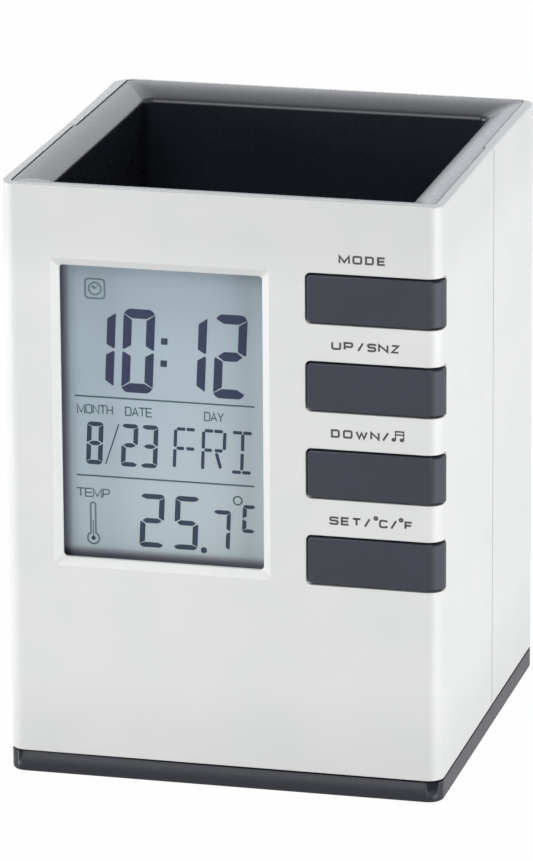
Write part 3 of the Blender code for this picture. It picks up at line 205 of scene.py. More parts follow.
@dataclass(frozen=True)
class Finish:
    """What a surface is made of and how it was made. Each kind builds its own shader.

    Fields:
        name: the material's name
    """

    name: str

    def shader(self, tree: Tree) -> Socket:
        """Adds the finish's nodes and returns its shader. Each kind of finish has its own."""
        raise NotImplementedError(self.name)

    def material(self) -> bpy.types.Material:
        """Gives this finish's material, and builds it the first time.

        Returns:
            the material
        """
        material = bpy.data.materials.get(self.name)
        if material is None:
            material = bpy.data.materials.new(self.name)
            material.use_nodes = True
            tree = material.node_tree
            tree.nodes.clear()
            add_node(tree, "ShaderNodeOutputMaterial", inputs={"Surface": self.shader(tree)})
        return material

    def between(self, tree: Tree, share: Socket, first: str, last: str) -> Socket:
        """Adds a colour that goes from one tone to another.

        Args:
            tree: the material's node tree
            share: 0 where it is the first tone and 1 where it is the last
            first, last: sRGB hex

        Returns:
            the colour's output
        """
        tones = {0: share, 6: linear(first), 7: linear(last)}
        return add_node(tree, "ShaderNodeMix", {"data_type": "RGBA"}, tones).outputs[2]

    def along(self, tree: Tree, direction: Triple, start: float, end: float) -> Socket:
        """Adds an even ramp across the object.

        Args:
            tree: the material's node tree
            direction: which way it runs
            start, end: millimetres along that direction where it is 0 and 1

        Returns:
            the ramp's output
        """
        place = {0: add_node(tree, "ShaderNodeTexCoord").outputs["Object"], 1: direction}
        value = add_node(tree, "ShaderNodeVectorMath", {"operation": "DOT_PRODUCT"}, place).outputs["Value"]
        spread = {"Value": value, "From Min": start * MM, "From Max": end * MM}
        return add_node(tree, "ShaderNodeMapRange", inputs=spread).outputs["Result"]

    def lightness(self, tree: Tree, direction: Triple, stops: Stops, purple: float) -> Socket:
        """Adds a lightness that changes along one direction, for painted shade and painted light.

        Args:
            tree: the material's node tree
            direction: which way it runs
            stops: places in millimetres with the lightness there
            purple: above 1 where the shade leans from grey to purple

        Returns:
            the lightness as a colour
        """
        start, end = stops[0][0], stops[-1][0]
        ramp = add_node(tree, "ShaderNodeValToRGB", inputs={0: self.along(tree, direction, start, end)})
        marks = ramp.color_ramp.elements
        for number, (place, level) in enumerate(stops):
            share = (place - start) / (end - start)
            stop = marks[number] if number < 2 else marks.new(share)
            stop.position = share
            stop.color = (level, level**purple, level, 1.0)
        return ramp.outputs["Color"]

    def shaded(self, tree: Tree, colour: Socket, across: Stops, up: Stops, purple: float = 1.0) -> Socket:
        """Adds painted shade and painted light across X and up Z to a colour.

        Args:
            tree: the material's node tree
            colour: the colour's output
            across, up: X or Z in millimetres, each with the lightness there
            purple: above 1 where the shade leans from grey to purple

        Returns:
            the shaded colour's output
        """
        multiply = {"data_type": "RGBA", "blend_type": "MULTIPLY"}
        for direction, stops in (((1.0, 0.0, 0.0), across), ((0.0, 0.0, 1.0), up)):
            parts = {0: 1.0, 6: colour, 7: self.lightness(tree, direction, stops, purple)}
            colour = add_node(tree, "ShaderNodeMix", multiply, parts).outputs[2]
        return colour


@dataclass(frozen=True)
class MouldedPlastic(Finish):
    """A plastic as it comes from a spark-eroded mould, bare or under one coat of paint.

    Fields:
        colour, shade: sRGB hex, the surface and its slightly darker patches
        roughness: lowest and highest, in spots twice as coarse as the pits
        grain: spacing of the mould's pits in millimetres, coarser than the real 0.05 so that they show
        depth: depth of the pits, in millimetres
        metallic: share of metal flake, 0 for bare plastic
        ior: the plastic's refractive index
        patches: spacing of the darker patches, in millimetres
    """

    colour: str
    shade: str
    roughness: tuple[float, float]
    grain: float = 0.35
    depth: float = 0.004
    metallic: float = 0.0
    ior: float = 1.5
    patches: float = 14.0

    def tinted(self, tree: Tree) -> Socket:
        """Adds the colour with its broad soft patches and returns its output."""
        return self.between(tree, Speckle(self.patches).value(tree), self.colour, self.shade)

    def shader(self, tree: Tree) -> Socket:
        """Adds the colour, fine pits and the roughness that goes with them.

        Args:
            tree: the material's node tree

        Returns:
            the shader's output
        """
        pits = Speckle(self.grain).value(tree)
        bump = {"Height": pits, "Distance": self.depth * MM, "Strength": 1.0}
        normal = add_node(tree, "ShaderNodeBump", inputs=bump).outputs["Normal"]
        settings = {
            "Base Color": self.tinted(tree),
            "Roughness": Speckle(self.grain * 2, *self.roughness).value(tree),
            "Normal": normal,
            "Metallic": self.metallic,
            "IOR": self.ior,
        }
        return add_node(tree, "ShaderNodeBsdfPrincipled", inputs=settings).outputs[0]


@dataclass(frozen=True)
class PaintWithPaintedShade(MouldedPlastic):
    """Paint on moulded plastic, with painted shade: greyer towards the top, the foot and the right side,
    where less light falls.

    Fields:
        across, up: X or Z in millimetres, each with the lightness of the painted shade there
    """

    across: Stops = ((-40.2, 1.0), (-20.0, 1.0), (10.0, 0.975), (40.2, 0.97))
    up: Stops = ((3.0, 0.92), (9.0, 0.93), (20.0, 1.0), (93.0, 1.0), (101.0, 0.93), (110.0, 0.92))

    def tinted(self, tree: Tree) -> Socket:
        """Adds the paint's colour with its painted shade, and returns its output."""
        # Painted shade: greyer towards the top, the foot and the right side
        return self.shaded(tree, super().tinted(tree), self.across, self.up)


@dataclass(frozen=True)
class ClearSheet(Finish):
    """A clear polished sheet that mirrors a little and shows what is behind it.

    Fields:
        ior: lower than bare acrylic's 1.49, since its hard coating mirrors less
        tint: sRGB hex, what it lets through
        marks: the roughness that wiping leaves, in spots of half a finger's width
    """

    ior: float = 1.4
    tint: str = "FDFEFE"
    marks: Speckle = Speckle(6.0, 0.02, 0.06)

    def shader(self, tree: Tree) -> Socket:
        """Adds a clear shader with a mirror that grows at grazing angles and a trace of wiping marks.

        Args:
            tree: the material's node tree

        Returns:
            the shader's output
        """
        grazing = add_node(tree, "ShaderNodeFresnel", inputs={"IOR": self.ior}).outputs[0]
        inside = add_node(tree, "ShaderNodeNewGeometry").outputs["Backfacing"]
        outside = add_node(tree, "ShaderNodeMath", {"operation": "SUBTRACT"}, {0: 1.0, 1: inside}).outputs[0]
        share = {0: grazing, 1: outside}
        gloss = {"Color": WHITE, "Roughness": self.marks.value(tree)}
        parts = {
            0: add_node(tree, "ShaderNodeMath", {"operation": "MULTIPLY"}, share).outputs[0],
            1: add_node(tree, "ShaderNodeBsdfTransparent", inputs={"Color": linear(self.tint)}).outputs[0],
            2: add_node(tree, "ShaderNodeBsdfGlossy", inputs=gloss).outputs[0],
        }
        return add_node(tree, "ShaderNodeMixShader", inputs=parts).outputs[0]


@dataclass(frozen=True)
class DisplayFilm(Finish):
    """A display's polariser film, with painted light that lightens it towards its lower right and just inside
    its edges, and painted shade where its left and lower edges lie under the frame.

    Fields:
        colour, light: sRGB hex, the film at its upper left, and at its lower right where painted light
            lightens it
        purple: above 1 where the shade at the edges leans from grey to purple
        painted_light_ramp: X minus Z in millimetres where the painted light gives the film each of its two
            colours
        across, up: X or Z in millimetres, each with the film's lightness there from painted shade and painted
            light
        gloss: the film's roughness
        ior: low, since only the lens in front of it mirrors
    """

    colour: str
    light: str
    purple: float = 1.12
    painted_light_ramp: Point = (-100.0, -40.0)
    across: Stops = (
        (-30.6, 0.33), (-30.0, 0.36), (-29.4, 0.61), (-28.9, 0.91),
        (-27.6, 0.97), (-24.0, 0.9), (4.0, 0.86), (6.5, 0.98),
    )
    up: Stops = (
        (40.2, 0.23), (40.8, 0.26), (41.4, 0.5), (42.0, 0.82), (42.6, 0.86), (44.0, 0.83),
        (47.0, 0.82), (80.0, 0.82), (88.0, 0.74), (93.4, 0.76), (94.0, 0.82),
    )
    gloss: Speckle = Speckle(6.0, 0.34, 0.4)
    ior: float = 1.1

    def shader(self, tree: Tree) -> Socket:
        """Adds the film's painted light towards its lower right, and the painted shade and painted light at
        its edges.

        Args:
            tree: the material's node tree

        Returns:
            the shader's output
        """
        # Painted light: the film goes lighter towards its lower right
        painted_light_ramp = self.along(tree, (1.0, 0.0, -1.0), *self.painted_light_ramp)
        film = self.between(tree, painted_light_ramp, self.colour, self.light)
        colour = self.shaded(tree, film, self.across, self.up, self.purple)
        settings = {"Base Color": colour, "Roughness": self.gloss.value(tree), "IOR": self.ior}
        return add_node(tree, "ShaderNodeBsdfPrincipled", inputs=settings).outputs[0]


@dataclass(frozen=True)
class PlatedMetal(Finish):
    """A metal with fine rolling or turning marks.

    Fields:
        colour, shade: sRGB hex, the metal and its duller streaks
        roughness: lowest and highest
        streaks: how many times longer the marks are along X, Y and Z
        marks: spacing of the marks in millimetres, coarser than the real ones so that they show
    """

    colour: str
    shade: str
    roughness: tuple[float, float] = (0.18, 0.34)
    streaks: Triple = (4.0, 1.0, 1.0)
    marks: float = 0.3

    def shader(self, tree: Tree) -> Socket:
        """Adds streaks to the metal's colour and roughness.

        Args:
            tree: the material's node tree

        Returns:
            the shader's output
        """
        streaks = Speckle(self.marks, stretch=self.streaks).value(tree)
        settings = {
            "Base Color": self.between(tree, streaks, self.colour, self.shade),
            "Roughness": Speckle(self.marks, *self.roughness, self.streaks).value(tree),
            "Metallic": 1.0,
        }
        return add_node(tree, "ShaderNodeBsdfPrincipled", inputs=settings).outputs[0]


@dataclass(frozen=True)
class SolderMask(Finish):
    """A circuit board's green lacquer, with tin tracks that show through as a lighter green.

    Fields:
        colour, track: sRGB hex, the lacquer over the laminate and over the tracks
        pitch: the weave's scale in millimetres, coarser than real tracks so that they show
        run, row, line: length of a run, space between runs and width of a track, in pitches
        relief: how far the tracks stand out, in millimetres
        strength: how much of that the lacquer leaves
        gloss: the lacquer's roughness
        ior: the lacquer's refractive index
    """

    colour: str
    track: str
    pitch: float = 2.5
    run: float = 2.2
    row: float = 0.5
    line: float = 0.06
    relief: float = 0.03
    strength: float = 0.6
    gloss: Speckle = Speckle(3.0, 0.26, 0.36)
    ior: float = 1.52

    def shader(self, tree: Tree) -> Socket:
        """Adds a weave of straight tracks under the lacquer.

        Args:
            tree: the material's node tree

        Returns:
            the shader's output
        """
        place = add_node(tree, "ShaderNodeTexCoord").outputs["Object"]
        upright = {"Vector": place, "Rotation": (math.pi / 2, 0.0, 0.0)}
        weave = {
            "Vector": add_node(tree, "ShaderNodeMapping", inputs=upright).outputs[0],
            "Scale": 1 / (self.pitch * MM),
            "Mortar Size": self.line,
            "Brick Width": self.run,
            "Row Height": self.row,
            "Color1": BLACK,
            "Color2": BLACK,
            "Mortar": WHITE,
        }
        tracks = add_node(tree, "ShaderNodeTexBrick", inputs=weave).outputs["Color"]
        height = {"Height": tracks, "Distance": self.relief * MM, "Strength": self.strength}
        settings = {
            "Base Color": self.between(tree, tracks, self.colour, self.track),
            "Roughness": self.gloss.value(tree),
            "Normal": add_node(tree, "ShaderNodeBump", inputs=height).outputs["Normal"],
            "IOR": self.ior,
        }
        return add_node(tree, "ShaderNodeBsdfPrincipled", inputs=settings).outputs[0]


@dataclass(frozen=True)
class ShrunkJacket(Finish):
    """A cell's shrunk plastic jacket, with bare steel at its ends.

    Fields:
        colour, band: sRGB hex, the jacket and its band
        ends: X in millimetres where the jacket stops at each end
        edge: X in millimetres where the band starts
        raised_right: True where the cell's raised end is at +X
        steel: sRGB hex, the bare ends
        sheen: share of metal that shows through the jacket
        gloss, turning: roughness of the jacket and of the bare ends
    """

    colour: str
    band: str
    ends: tuple[float, float]
    edge: float
    raised_right: bool
    steel: str = "C9C8C4"
    sheen: float = 0.25
    gloss: Speckle = Speckle(2.0, 0.22, 0.32)
    turning: Speckle = Speckle(0.4, 0.2, 0.35)

    def shader(self, tree: Tree) -> Socket:
        """Adds the band and the bare ends by their place along X.

        Args:
            tree: the material's node tree

        Returns:
            the shader's output
        """
        place = add_node(tree, "ShaderNodeTexCoord").outputs["Object"]
        along = add_node(tree, "ShaderNodeSeparateXYZ", inputs={0: place}).outputs["X"]
        side = {"operation": "GREATER_THAN" if self.raised_right else "LESS_THAN"}
        banded = add_node(tree, "ShaderNodeMath", side, {0: along, 1: self.edge * MM}).outputs[0]
        jacket = {
            "Base Color": self.between(tree, banded, self.colour, self.band),
            "Roughness": self.gloss.value(tree),
            "Metallic": self.sheen,
        }
        steel = {"Base Color": linear(self.steel), "Roughness": self.turning.value(tree), "Metallic": 1.0}
        bare = {}
        for number, beyond in enumerate(("LESS_THAN", "GREATER_THAN")):
            end = {0: along, 1: self.ends[number] * MM}
            bare[number] = add_node(tree, "ShaderNodeMath", {"operation": beyond}, end).outputs[0]
        parts = {
            0: add_node(tree, "ShaderNodeMath", {"operation": "MAXIMUM"}, bare).outputs[0],
            1: add_node(tree, "ShaderNodeBsdfPrincipled", inputs=jacket).outputs[0],
            2: add_node(tree, "ShaderNodeBsdfPrincipled", inputs=steel).outputs[0],
        }
        return add_node(tree, "ShaderNodeMixShader", inputs=parts).outputs[0]


# Satin silver paint on moulded ABS: pale grey with painted shade towards its top, foot and right side, and a
# soft metal sheen that brightens at the corners.
SILVER_PAINT = PaintWithPaintedShade("satin silver painted ABS", "E3E4E3", "E0E1E1", (0.38, 0.46), 0.5, 0.001, 0.06)
# Spark-eroded slate ABS of the base: dark blue grey with a dull sheen and a pitted feel, darker than the
# keys' ABS as painted shade near the floor.
DARK_ABS = MouldedPlastic("spark eroded slate ABS", "1D202A", "1A1D26", (0.38, 0.46), 0.35, 0.002, ior=1.42)
# The keys' finer pits spread the light more, so their turned ends look lighter than their fronts.
KEY_ABS = MouldedPlastic("finely eroded slate ABS", "2A2D39", "272A36", (0.42, 0.5), 0.35, 0.0015)
# Smoother slate ABS of the cup: the same colour, and its rim mirrors the light more clearly.
CUP_ABS = MouldedPlastic("smooth moulded slate ABS", "272A34", "242730", (0.26, 0.3), 0.6, 0.0)
# Matt black polystyrene of the display's frame, switches and buzzer: a plain dark edge round the glass.
BLACK_PLASTIC = MouldedPlastic("matt moulded black polystyrene", "17161C", "131217", (0.5, 0.62))
# Black silicone rubber: dull, soft and a little dusty.
BLACK_RUBBER = MouldedPlastic("moulded black silicone rubber", "1D1D1F", "262628", (0.7, 0.85), 0.5, 0.008)
# Clear acrylic, polished and hard coated: nearly unseen but for a faint veil over the display.
CLEAR_ACRYLIC = ClearSheet("polished clear acrylic")
# Grey-green polariser film laminated on glass: smooth, with painted shade under the frame's left and lower
# edge and painted light towards its lower right.
DISPLAY_GLASS = DisplayFilm("laminated polariser film", "D2E7F0", "E8F8F9")
# Grey brushed reflector film behind the glass: long level streaks with a dull metal sheen.
REFLECTOR_FILM = PlatedMetal("brushed grey reflector film", "B9BEBE", "A3A9A9", (0.35, 0.5), (30.0, 1.0, 1.0))
# Green solder mask on glass-epoxy laminate, with the tracks just showing.
BOARD_LAMINATE = SolderMask("green lacquered epoxy laminate", "1F5A33", "3A7A45")
# Cast black epoxy: dark, slightly uneven, with a low gloss.
BLACK_EPOXY = MouldedPlastic("cast black epoxy", "151517", "1B1B1E", (0.28, 0.42), 0.9, 0.01, ior=1.55)
# Zinc plated turned steel: bright with fine turning marks.
BRIGHT_STEEL = PlatedMetal("zinc plated turned steel", "C6C8CA", "B0B3B6", (0.2, 0.34), (1.0, 1.0, 3.0))
# Nickel plated spring steel: warmer and a little duller.
NICKEL_PLATE = PlatedMetal("nickel plated spring steel", "C9C4BA", "B3AEA4")
# Natural moulded nylon: milky white, with a soft sheen.
WHITE_NYLON = MouldedPlastic("moulded natural nylon", "E4E1D8", "DBD8CE", (0.42, 0.55), 0.4, ior=1.53)
# Grey moulded nylon of the switch plungers: even and a little waxy.
GREY_NYLON = MouldedPlastic("moulded grey nylon", "8B8E92", "7F8286", (0.42, 0.55), 0.4, ior=1.53)
# Soft PVC sleeves of the two battery leads: a waxy gloss on red and on black.
RED_WIRE = MouldedPlastic("extruded red PVC sleeve", "B3201F", "A51C1C", (0.34, 0.44), 0.4, 0.002, ior=1.54)
BLACK_WIRE = replace(RED_WIRE, name="extruded black PVC sleeve", colour="1A1A1B", shade="222223")
# Pad printed ink of the words on the case: dark grey, thin and dull.
LABEL_INK = MouldedPlastic("pad printed dark grey ink", "434546", "48494A", (0.5, 0.6), 0.3, 0.001)


@dataclass(frozen=True)
class LiquidCrystal(MouldedPlastic):
    """Liquid crystal turned dark between its films: flat, without gloss, and slowly uneven."""

    roughness: tuple[float, float] = (0.4, 0.5)
    grain: float = 2.0
    depth: float = 0.0002
    ior: float = 1.05


class SegmentTone(Enum):
    """The dark tones of the display, from the heavy time figures to the thin outlines."""

    HEAVY = LiquidCrystal("dark blue liquid crystal", "303D5A", "373A5C")
    PLAIN = LiquidCrystal("dark slate liquid crystal", "2C4254", "333F58")
    FINE = LiquidCrystal("thin grey green liquid crystal", "4F6A6C", "4A6466")
    PALE = LiquidCrystal("pale slate liquid crystal", "6E8688", "6A8183")


@dataclass(frozen=True)
class EdgeRound:
    """One rounding of some edges of a copied node.

    Fields:
        radius: millimetres
        chosen: takes an edge's two ends in millimetres and says whether it is rounded
        steps: how many faces the rounding has
        bend: only edges that turn by more than this many degrees
    """

    radius: float
    chosen: EdgeTest
    steps: int = 2
    bend: float = 32.0

    def apply(self, mesh: bmesh.types.BMesh) -> None:
        """Rounds the chosen edges of a mesh.

        Args:
            mesh: the mesh, in metres
        """
        limit = math.radians(self.bend)
        edges = []
        for edge in mesh.edges:
            if edge.is_manifold and edge.calc_face_angle() > limit:
                if self.chosen(*(v.co / MM for v in edge.verts)):
                    edges.append(edge)
        if edges:
            bmesh.ops.bevel(
                mesh,
                geom=edges,
                offset=self.radius * MM,
                offset_type="OFFSET",
                segments=self.steps,
                profile=0.5,
                affect="EDGES",
                clamp_overlap=False,
            )


def every_edge(start: Vector, end: Vector) -> bool:
    """Chooses every edge."""
    return True


def placed(name: str, data: bpy.types.ID) -> bpy.types.Object:
    """Puts a new object into the scene.

    Args:
        name: the object's name
        data: its mesh, lamp or camera

    Returns:
        the object
    """
    piece = bpy.data.objects.new(name, data)
    bpy.context.scene.collection.objects.link(piece)
    return piece


def made(mesh: bmesh.types.BMesh, name: str) -> bpy.types.Object:
    """Turns a finished mesh into an object in the scene.

    Args:
        mesh: the mesh, which is freed
        name: the object's name

    Returns:
        the object
    """
    bmesh.ops.recalc_face_normals(mesh, faces=mesh.faces)
    data = bpy.data.meshes.new(name)
    mesh.to_mesh(data)
    mesh.free()
    return placed(name, data)


def smooth(piece: bpy.types.Object, sharp: float = 38.0) -> None:
    """Shades a piece smooth, keeps its flat faces flat and its sharp edges sharp.

    Args:
        piece: the piece, whose mesh is changed
        sharp: edges that turn by more degrees than this stay sharp
    """
    piece.data.shade_smooth()
    piece.data.set_sharp_from_angle(angle=math.radians(sharp))
    modifier = piece.modifiers.new("flat faces stay flat", "WEIGHTED_NORMAL")
    modifier.keep_sharp = True
    bpy.context.view_layer.update()
    found = piece.evaluated_get(bpy.context.evaluated_depsgraph_get())
    mesh = bpy.data.meshes.new_from_object(found)
    piece.modifiers.clear()
    piece.data = mesh


@dataclass
class Assembly:
    """A group of pieces that go together on the real clock.

    Fields:
        pieces: what this group has built so far
    """

    frame: dict
    pieces: list[bpy.types.Object] = field(default_factory=list, init=False)

    def body(self, node: str) -> str:
        """Gives the name of the CAD body that a node belongs to."""
        bodies = self.frame["record"]["behaviour"]["bodies"]
        return next(name for name, nodes in bodies.items() if node in nodes)

    def keep(self, piece: bpy.types.Object, finish: Finish, slot: Slot, body: str) -> bpy.types.Object:
        """Dresses a new piece, puts it on its body and counts it in.

        Args:
            piece: the piece, in its place
            finish: what its surface is
            slot: the record's slot; not used
            body: the CAD body that it rides on

        Returns:
            the piece
        """
        piece.data.materials.clear()
        piece.data.materials.append(finish.material())
        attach(piece, body)
        self.pieces.append(piece)
        return piece

    def finished(
        self, node: str, finish: Finish, slot: Slot, rounds: Iterable[EdgeRound] = ()
    ) -> bpy.types.Object:
        """Makes the finished form of a CAD node: the same shape with fine rounded edges, shaded smooth.

        Args:
            node: the CAD node that the piece stands for
            finish: what its surface is
            slot: the record's slot; not used
            rounds: the edge roundings, in order

        Returns:
            the piece
        """
        mesh = bmesh.new()
        mesh.from_mesh(self.frame["nodes"][node].data)
        bmesh.ops.remove_doubles(mesh, verts=mesh.verts, dist=WELD * MM)
        bmesh.ops.dissolve_limit(mesh, angle_limit=math.radians(FLUSH), verts=mesh.verts, edges=mesh.edges)
        for rounding in rounds:
            rounding.apply(mesh)
        piece = made(mesh, node + "_finished")
        smooth(piece)
        self.keep(piece, finish, slot, self.body(node))
        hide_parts(node)
        return piece

    def dressed(self, node: str, finish: Finish) -> bpy.types.Object:
        """Gives a CAD node that stays as it is its better material.

        Args:
            node: the node's name
            finish: what its surface is

        Returns:
            the node's object
        """
        piece = self.frame["nodes"][node]
        for place in piece.material_slots:
            place.material = finish.material()
        self.pieces.append(piece)
        return piece

    def build(self) -> None:
        """Builds the group's pieces. Each group has its own."""
        raise NotImplementedError


@dataclass
class Casing(Assembly):
    """The two painted shells, with the window's bevel and the key slots in the front one.

    Fields:
        half: half the case's width and depth
        corner: radius of the upright corners
        opening: the window opening's left, right, bottom and top at the bevel's foot
        opening_depth: Y of that opening
        opening_corner: radius of its corners
        opening_reach: how far from the opening's rim its points may lie
        slot_left: X where the key slots start
        slot_corner: radius of the slots' left corners
        slot_reach: how far from that X the corners' edges may lie
        soft_edge: radius of the visible edges under the paint
        seam: Y of the seam between the two shells
        seam_edge: radius of the front shell's edge at the seam
        seam_reach: how far from the seam that edge may lie
    """

    half: float = 40.0
    corner: float = 2.8
    opening: tuple[float, float, float, float] = (-29.5, 7.5, 41.3, 95.4)
    opening_depth: float = -39.0
    opening_corner: float = 0.7
    opening_reach: float = 0.03
    slot_left: float = 15.45
    slot_corner: float = 1.0
    slot_reach: float = 0.12
    soft_edge: float = 0.15
    seam: float = 3.2
    seam_edge: float = 0.4
    seam_reach: float = 0.3

    def on_skin(self, point: Vector) -> bool:
        """Says whether a point lies on the case's outer upright faces.

        Args:
            point: the point, in millimetres

        Returns:
            True if it does
        """
        x, y = abs(point.x), abs(point.y)
        centre = self.half - self.corner
        if x > centre and y > centre:
            return abs(math.hypot(x - centre, y - centre) - self.corner) < ON_ROUND
        return max(x, y) > self.half - ON_FLAT

    def at_opening(self, point: Vector) -> bool:
        """Says whether a point lies on the rim of the window's opening.

        Args:
            point: the point, in millimetres

        Returns:
            True if it does
        """
        left, right, low, high = self.opening
        inset = self.opening_corner
        x = max(left + inset - point.x, point.x - right + inset)
        z = max(low + inset - point.z, point.z - high + inset)
        out = math.hypot(x, z) if min(x, z) > 0 else max(x, z)
        return abs(point.y - self.opening_depth) < ON_FLAT and abs(out - inset) < self.opening_reach

    def slot_corners(self, start: Vector, end: Vector) -> bool:
        """Chooses the left corners' edges through the wall, two of each key slot.

        Args:
            start, end: the edge's ends, in millimetres

        Returns:
            True for such an edge
        """
        inward = abs(start.x - end.x) < SAME and abs(start.z - end.z) < SAME
        deep = abs(start.y - end.y) > THROUGH and min(start.y, end.y) < ON_FLAT - self.half
        return inward and deep and abs(start.x - self.slot_left) < self.slot_reach

    def skin_edges(self, start: Vector, end: Vector) -> bool:
        """Chooses the edges that lie on the outer skin or on the rim of the window's opening."""
        skin = self.on_skin(start) and self.on_skin(end) and not self.seam_edges(start, end)
        return skin or (self.at_opening(start) and self.at_opening(end))

    def seam_edges(self, start: Vector, end: Vector) -> bool:
        """Chooses the upright edges on the outer skin along the seam."""
        near = max(abs(start.y - self.seam), abs(end.y - self.seam)) < self.seam_reach
        return near and self.on_skin(start) and self.on_skin(end)

    def build(self) -> None:
        """Makes both shells."""
        corners = EdgeRound(self.slot_corner, self.slot_corners, steps=5)
        edges = EdgeRound(self.soft_edge, self.skin_edges)
        seam = EdgeRound(self.seam_edge, self.seam_edges, steps=3)
        self.finished("front_shell", SILVER_PAINT, Slot.SILVER_PAINT, (corners, edges, seam))
        self.finished("rear_shell", SILVER_PAINT, Slot.SILVER_PAINT, (edges,))


@dataclass
class PenCup(Assembly):
    """The dark inner cup with its sloping rim.

    Fields:
        soft_edge: radius of the rim's upper edges
        rim: Z that they lie above
    """

    soft_edge: float = 0.2
    rim: float = 109.5

    def upper_edges(self, start: Vector, end: Vector) -> bool:
        """Chooses the edges that show from above."""
        return min(start.z, end.z) > self.rim

    def build(self) -> None:
        """Makes the cup."""
        self.finished("pen_cup", CUP_ABS, Slot.CUP_ABS, (EdgeRound(self.soft_edge, self.upper_edges),))


@dataclass
class Base(Assembly):
    """The dark base with its battery door, six screws and four rubber feet.

    Fields:
        soft_edge: radius of the feet's edges
    """

    soft_edge: float = 0.15

    def build(self) -> None:
        """Makes the base and what is fixed to its underside."""
        edges = (EdgeRound(self.soft_edge, every_edge),)
        # The base's ABS is darker than the keys' ABS: painted shade near the floor
        self.finished("base_plate", DARK_ABS, Slot.DARK_ABS)
        self.finished("battery_door", DARK_ABS, Slot.DARK_ABS)
        for number in range(1, 5):
            self.finished(f"foot_{number}", BLACK_RUBBER, Slot.BLACK_RUBBER, edges)
        for number in range(1, 7):
            self.finished(f"base_screw_{number}", BRIGHT_STEEL, Slot.BRIGHT_STEEL)


@dataclass
class Keypad(Assembly):
    """The four keys that wrap round the right front corner.

    Fields:
        names: the keys from the top down
        left: X of the keys' left end
        face: Y that the edges of a key's face lie in front of
        span: least length of the face's long edges
        corner: radius of a key's two left corners
        soft_edge: radius of its long edges
    """

    names: tuple[str, ...] = ("mode", "up", "down", "set")
    left: float = 15.8
    face: float = -39.5
    span: float = 5.0
    corner: float = 0.8
    soft_edge: float = 0.12

    def left_corners(self, start: Vector, end: Vector) -> bool:
        """Chooses a key's two left corner edges, which run straight in."""
        deep = abs(start.y - end.y) > THROUGH and abs(start.x - end.x) < SAME
        return deep and abs(start.x - self.left) < ON_FLAT

    def long_edges(self, start: Vector, end: Vector) -> bool:
        """Chooses the long level edges of a key's face."""
        return abs(start.z - end.z) < SAME and abs(start.x - end.x) > self.span and start.y < self.face

    def build(self) -> None:
        """Makes the four keys."""
        corners = EdgeRound(self.corner, self.left_corners, steps=5)
        edges = EdgeRound(self.soft_edge, self.long_edges)
        for name in self.names:
            self.finished(name + "_key", KEY_ABS, Slot.DARK_ABS, (corners, edges))


class Bar(Enum):
    """The seven bars of a figure, by their usual letters."""

    TOP = "a"
    UPPER_RIGHT = "b"
    LOWER_RIGHT = "c"
    BOTTOM = "d"
    LOWER_LEFT = "e"
    UPPER_LEFT = "f"
    MIDDLE = "g"


# The bars that each figure lights
LIT = {
    "0": "abcdef",
    "1": "bc",
    "2": "abged",
    "3": "abgcd",
    "5": "afgcd",
    "7": "abc",
    "8": "abcdefg",
    "C": "afed",
}


@dataclass(frozen=True)
class Figure:
    """The size and style of one row's seven-bar figures.

    Fields:
        width, height: outer size
        upright: width of the upright bars
        level: height of the level bars
        lean: degrees that the figures lean to the right
        full: True where the middle bar has long flat sides, as in the big figures
    """

    width: float
    height: float
    upright: float
    level: float
    lean: float = 2.7
    full: bool = True

    def bar(self, which: Bar) -> Outline:
        """Draws one bar of a figure.

        Args:
            which: the bar

        Returns:
            its corners from the figure's lower left corner, before it leans
        """
        w, h, u, v = self.width, self.height, self.upright, self.level
        middle = h / 2
        if which is Bar.TOP:
            half = [(0.03 * u, h - 0.56 * u), (0.3 * u, h - 0.2 * u), (0.65 * u, h)]
            points = half + [(w - x, z) for x, z in half[::-1]] + [(w - 0.97 * u, h - v), (0.97 * u, h - v)]
        elif which is Bar.UPPER_RIGHT:
            points = [
                (w - 0.03 * u, h - 0.64 * u),
                (w, h - 0.78 * u),
                (w, middle + 0.26 * u),
                (w - 0.15 * u, middle + 0.14 * u),
                (w - u, middle + 0.64 * u),
                (w - u, h - v - 0.2 * u),
            ]
        elif which is Bar.MIDDLE:
            tip = 0.41 * u
            inset = 1.1 * u if self.full else tip + (w / 2 - tip) * 0.6
            upper = [(tip, middle), (inset, middle + 0.49 * v), (w - inset, middle + 0.49 * v)]
            points = upper + [(w - x, h - z) for x, z in upper]
        elif which is Bar.BOTTOM:
            points = [(x, h - z) for x, z in self.bar(Bar.TOP)]
        elif which is Bar.LOWER_RIGHT:
            points = [(x, h - z) for x, z in self.bar(Bar.UPPER_RIGHT)]
        elif which is Bar.UPPER_LEFT:
            points = [(w - x, z) for x, z in self.bar(Bar.UPPER_RIGHT)]
        else:
            points = [(w - x, h - z) for x, z in self.bar(Bar.UPPER_RIGHT)]
        return points

    def figure(self, sign: str, left: float, low: float) -> list[Outline]:
        """Draws a figure's lit bars.

        Args:
            sign: the figure, one of LIT
            left: X of its left side at half its height
            low: Z of its foot

        Returns:
            the outline of each bar
        """
        lean = math.tan(math.radians(self.lean))
        outlines = []
        for letter in LIT[sign]:
            points = self.bar(Bar(letter))
            outlines.append([(left + x + (z - self.height / 2) * lean, low + z) for x, z in points])
        return outlines


def arc(centre: Point, radius: float, start: float, end: float, steps: int) -> Outline:
    """Gives points along an arc.

    Args:
        centre: the arc's centre
        radius: its radius
        start, end: degrees from X, turning towards Z
        steps: how many pieces it has

    Returns:
        the points, both ends included
    """
    angles = [math.radians(start + (end - start) * i / steps) for i in range(steps + 1)]
    return [(centre[0] + radius * math.cos(a), centre[1] + radius * math.sin(a)) for a in angles]


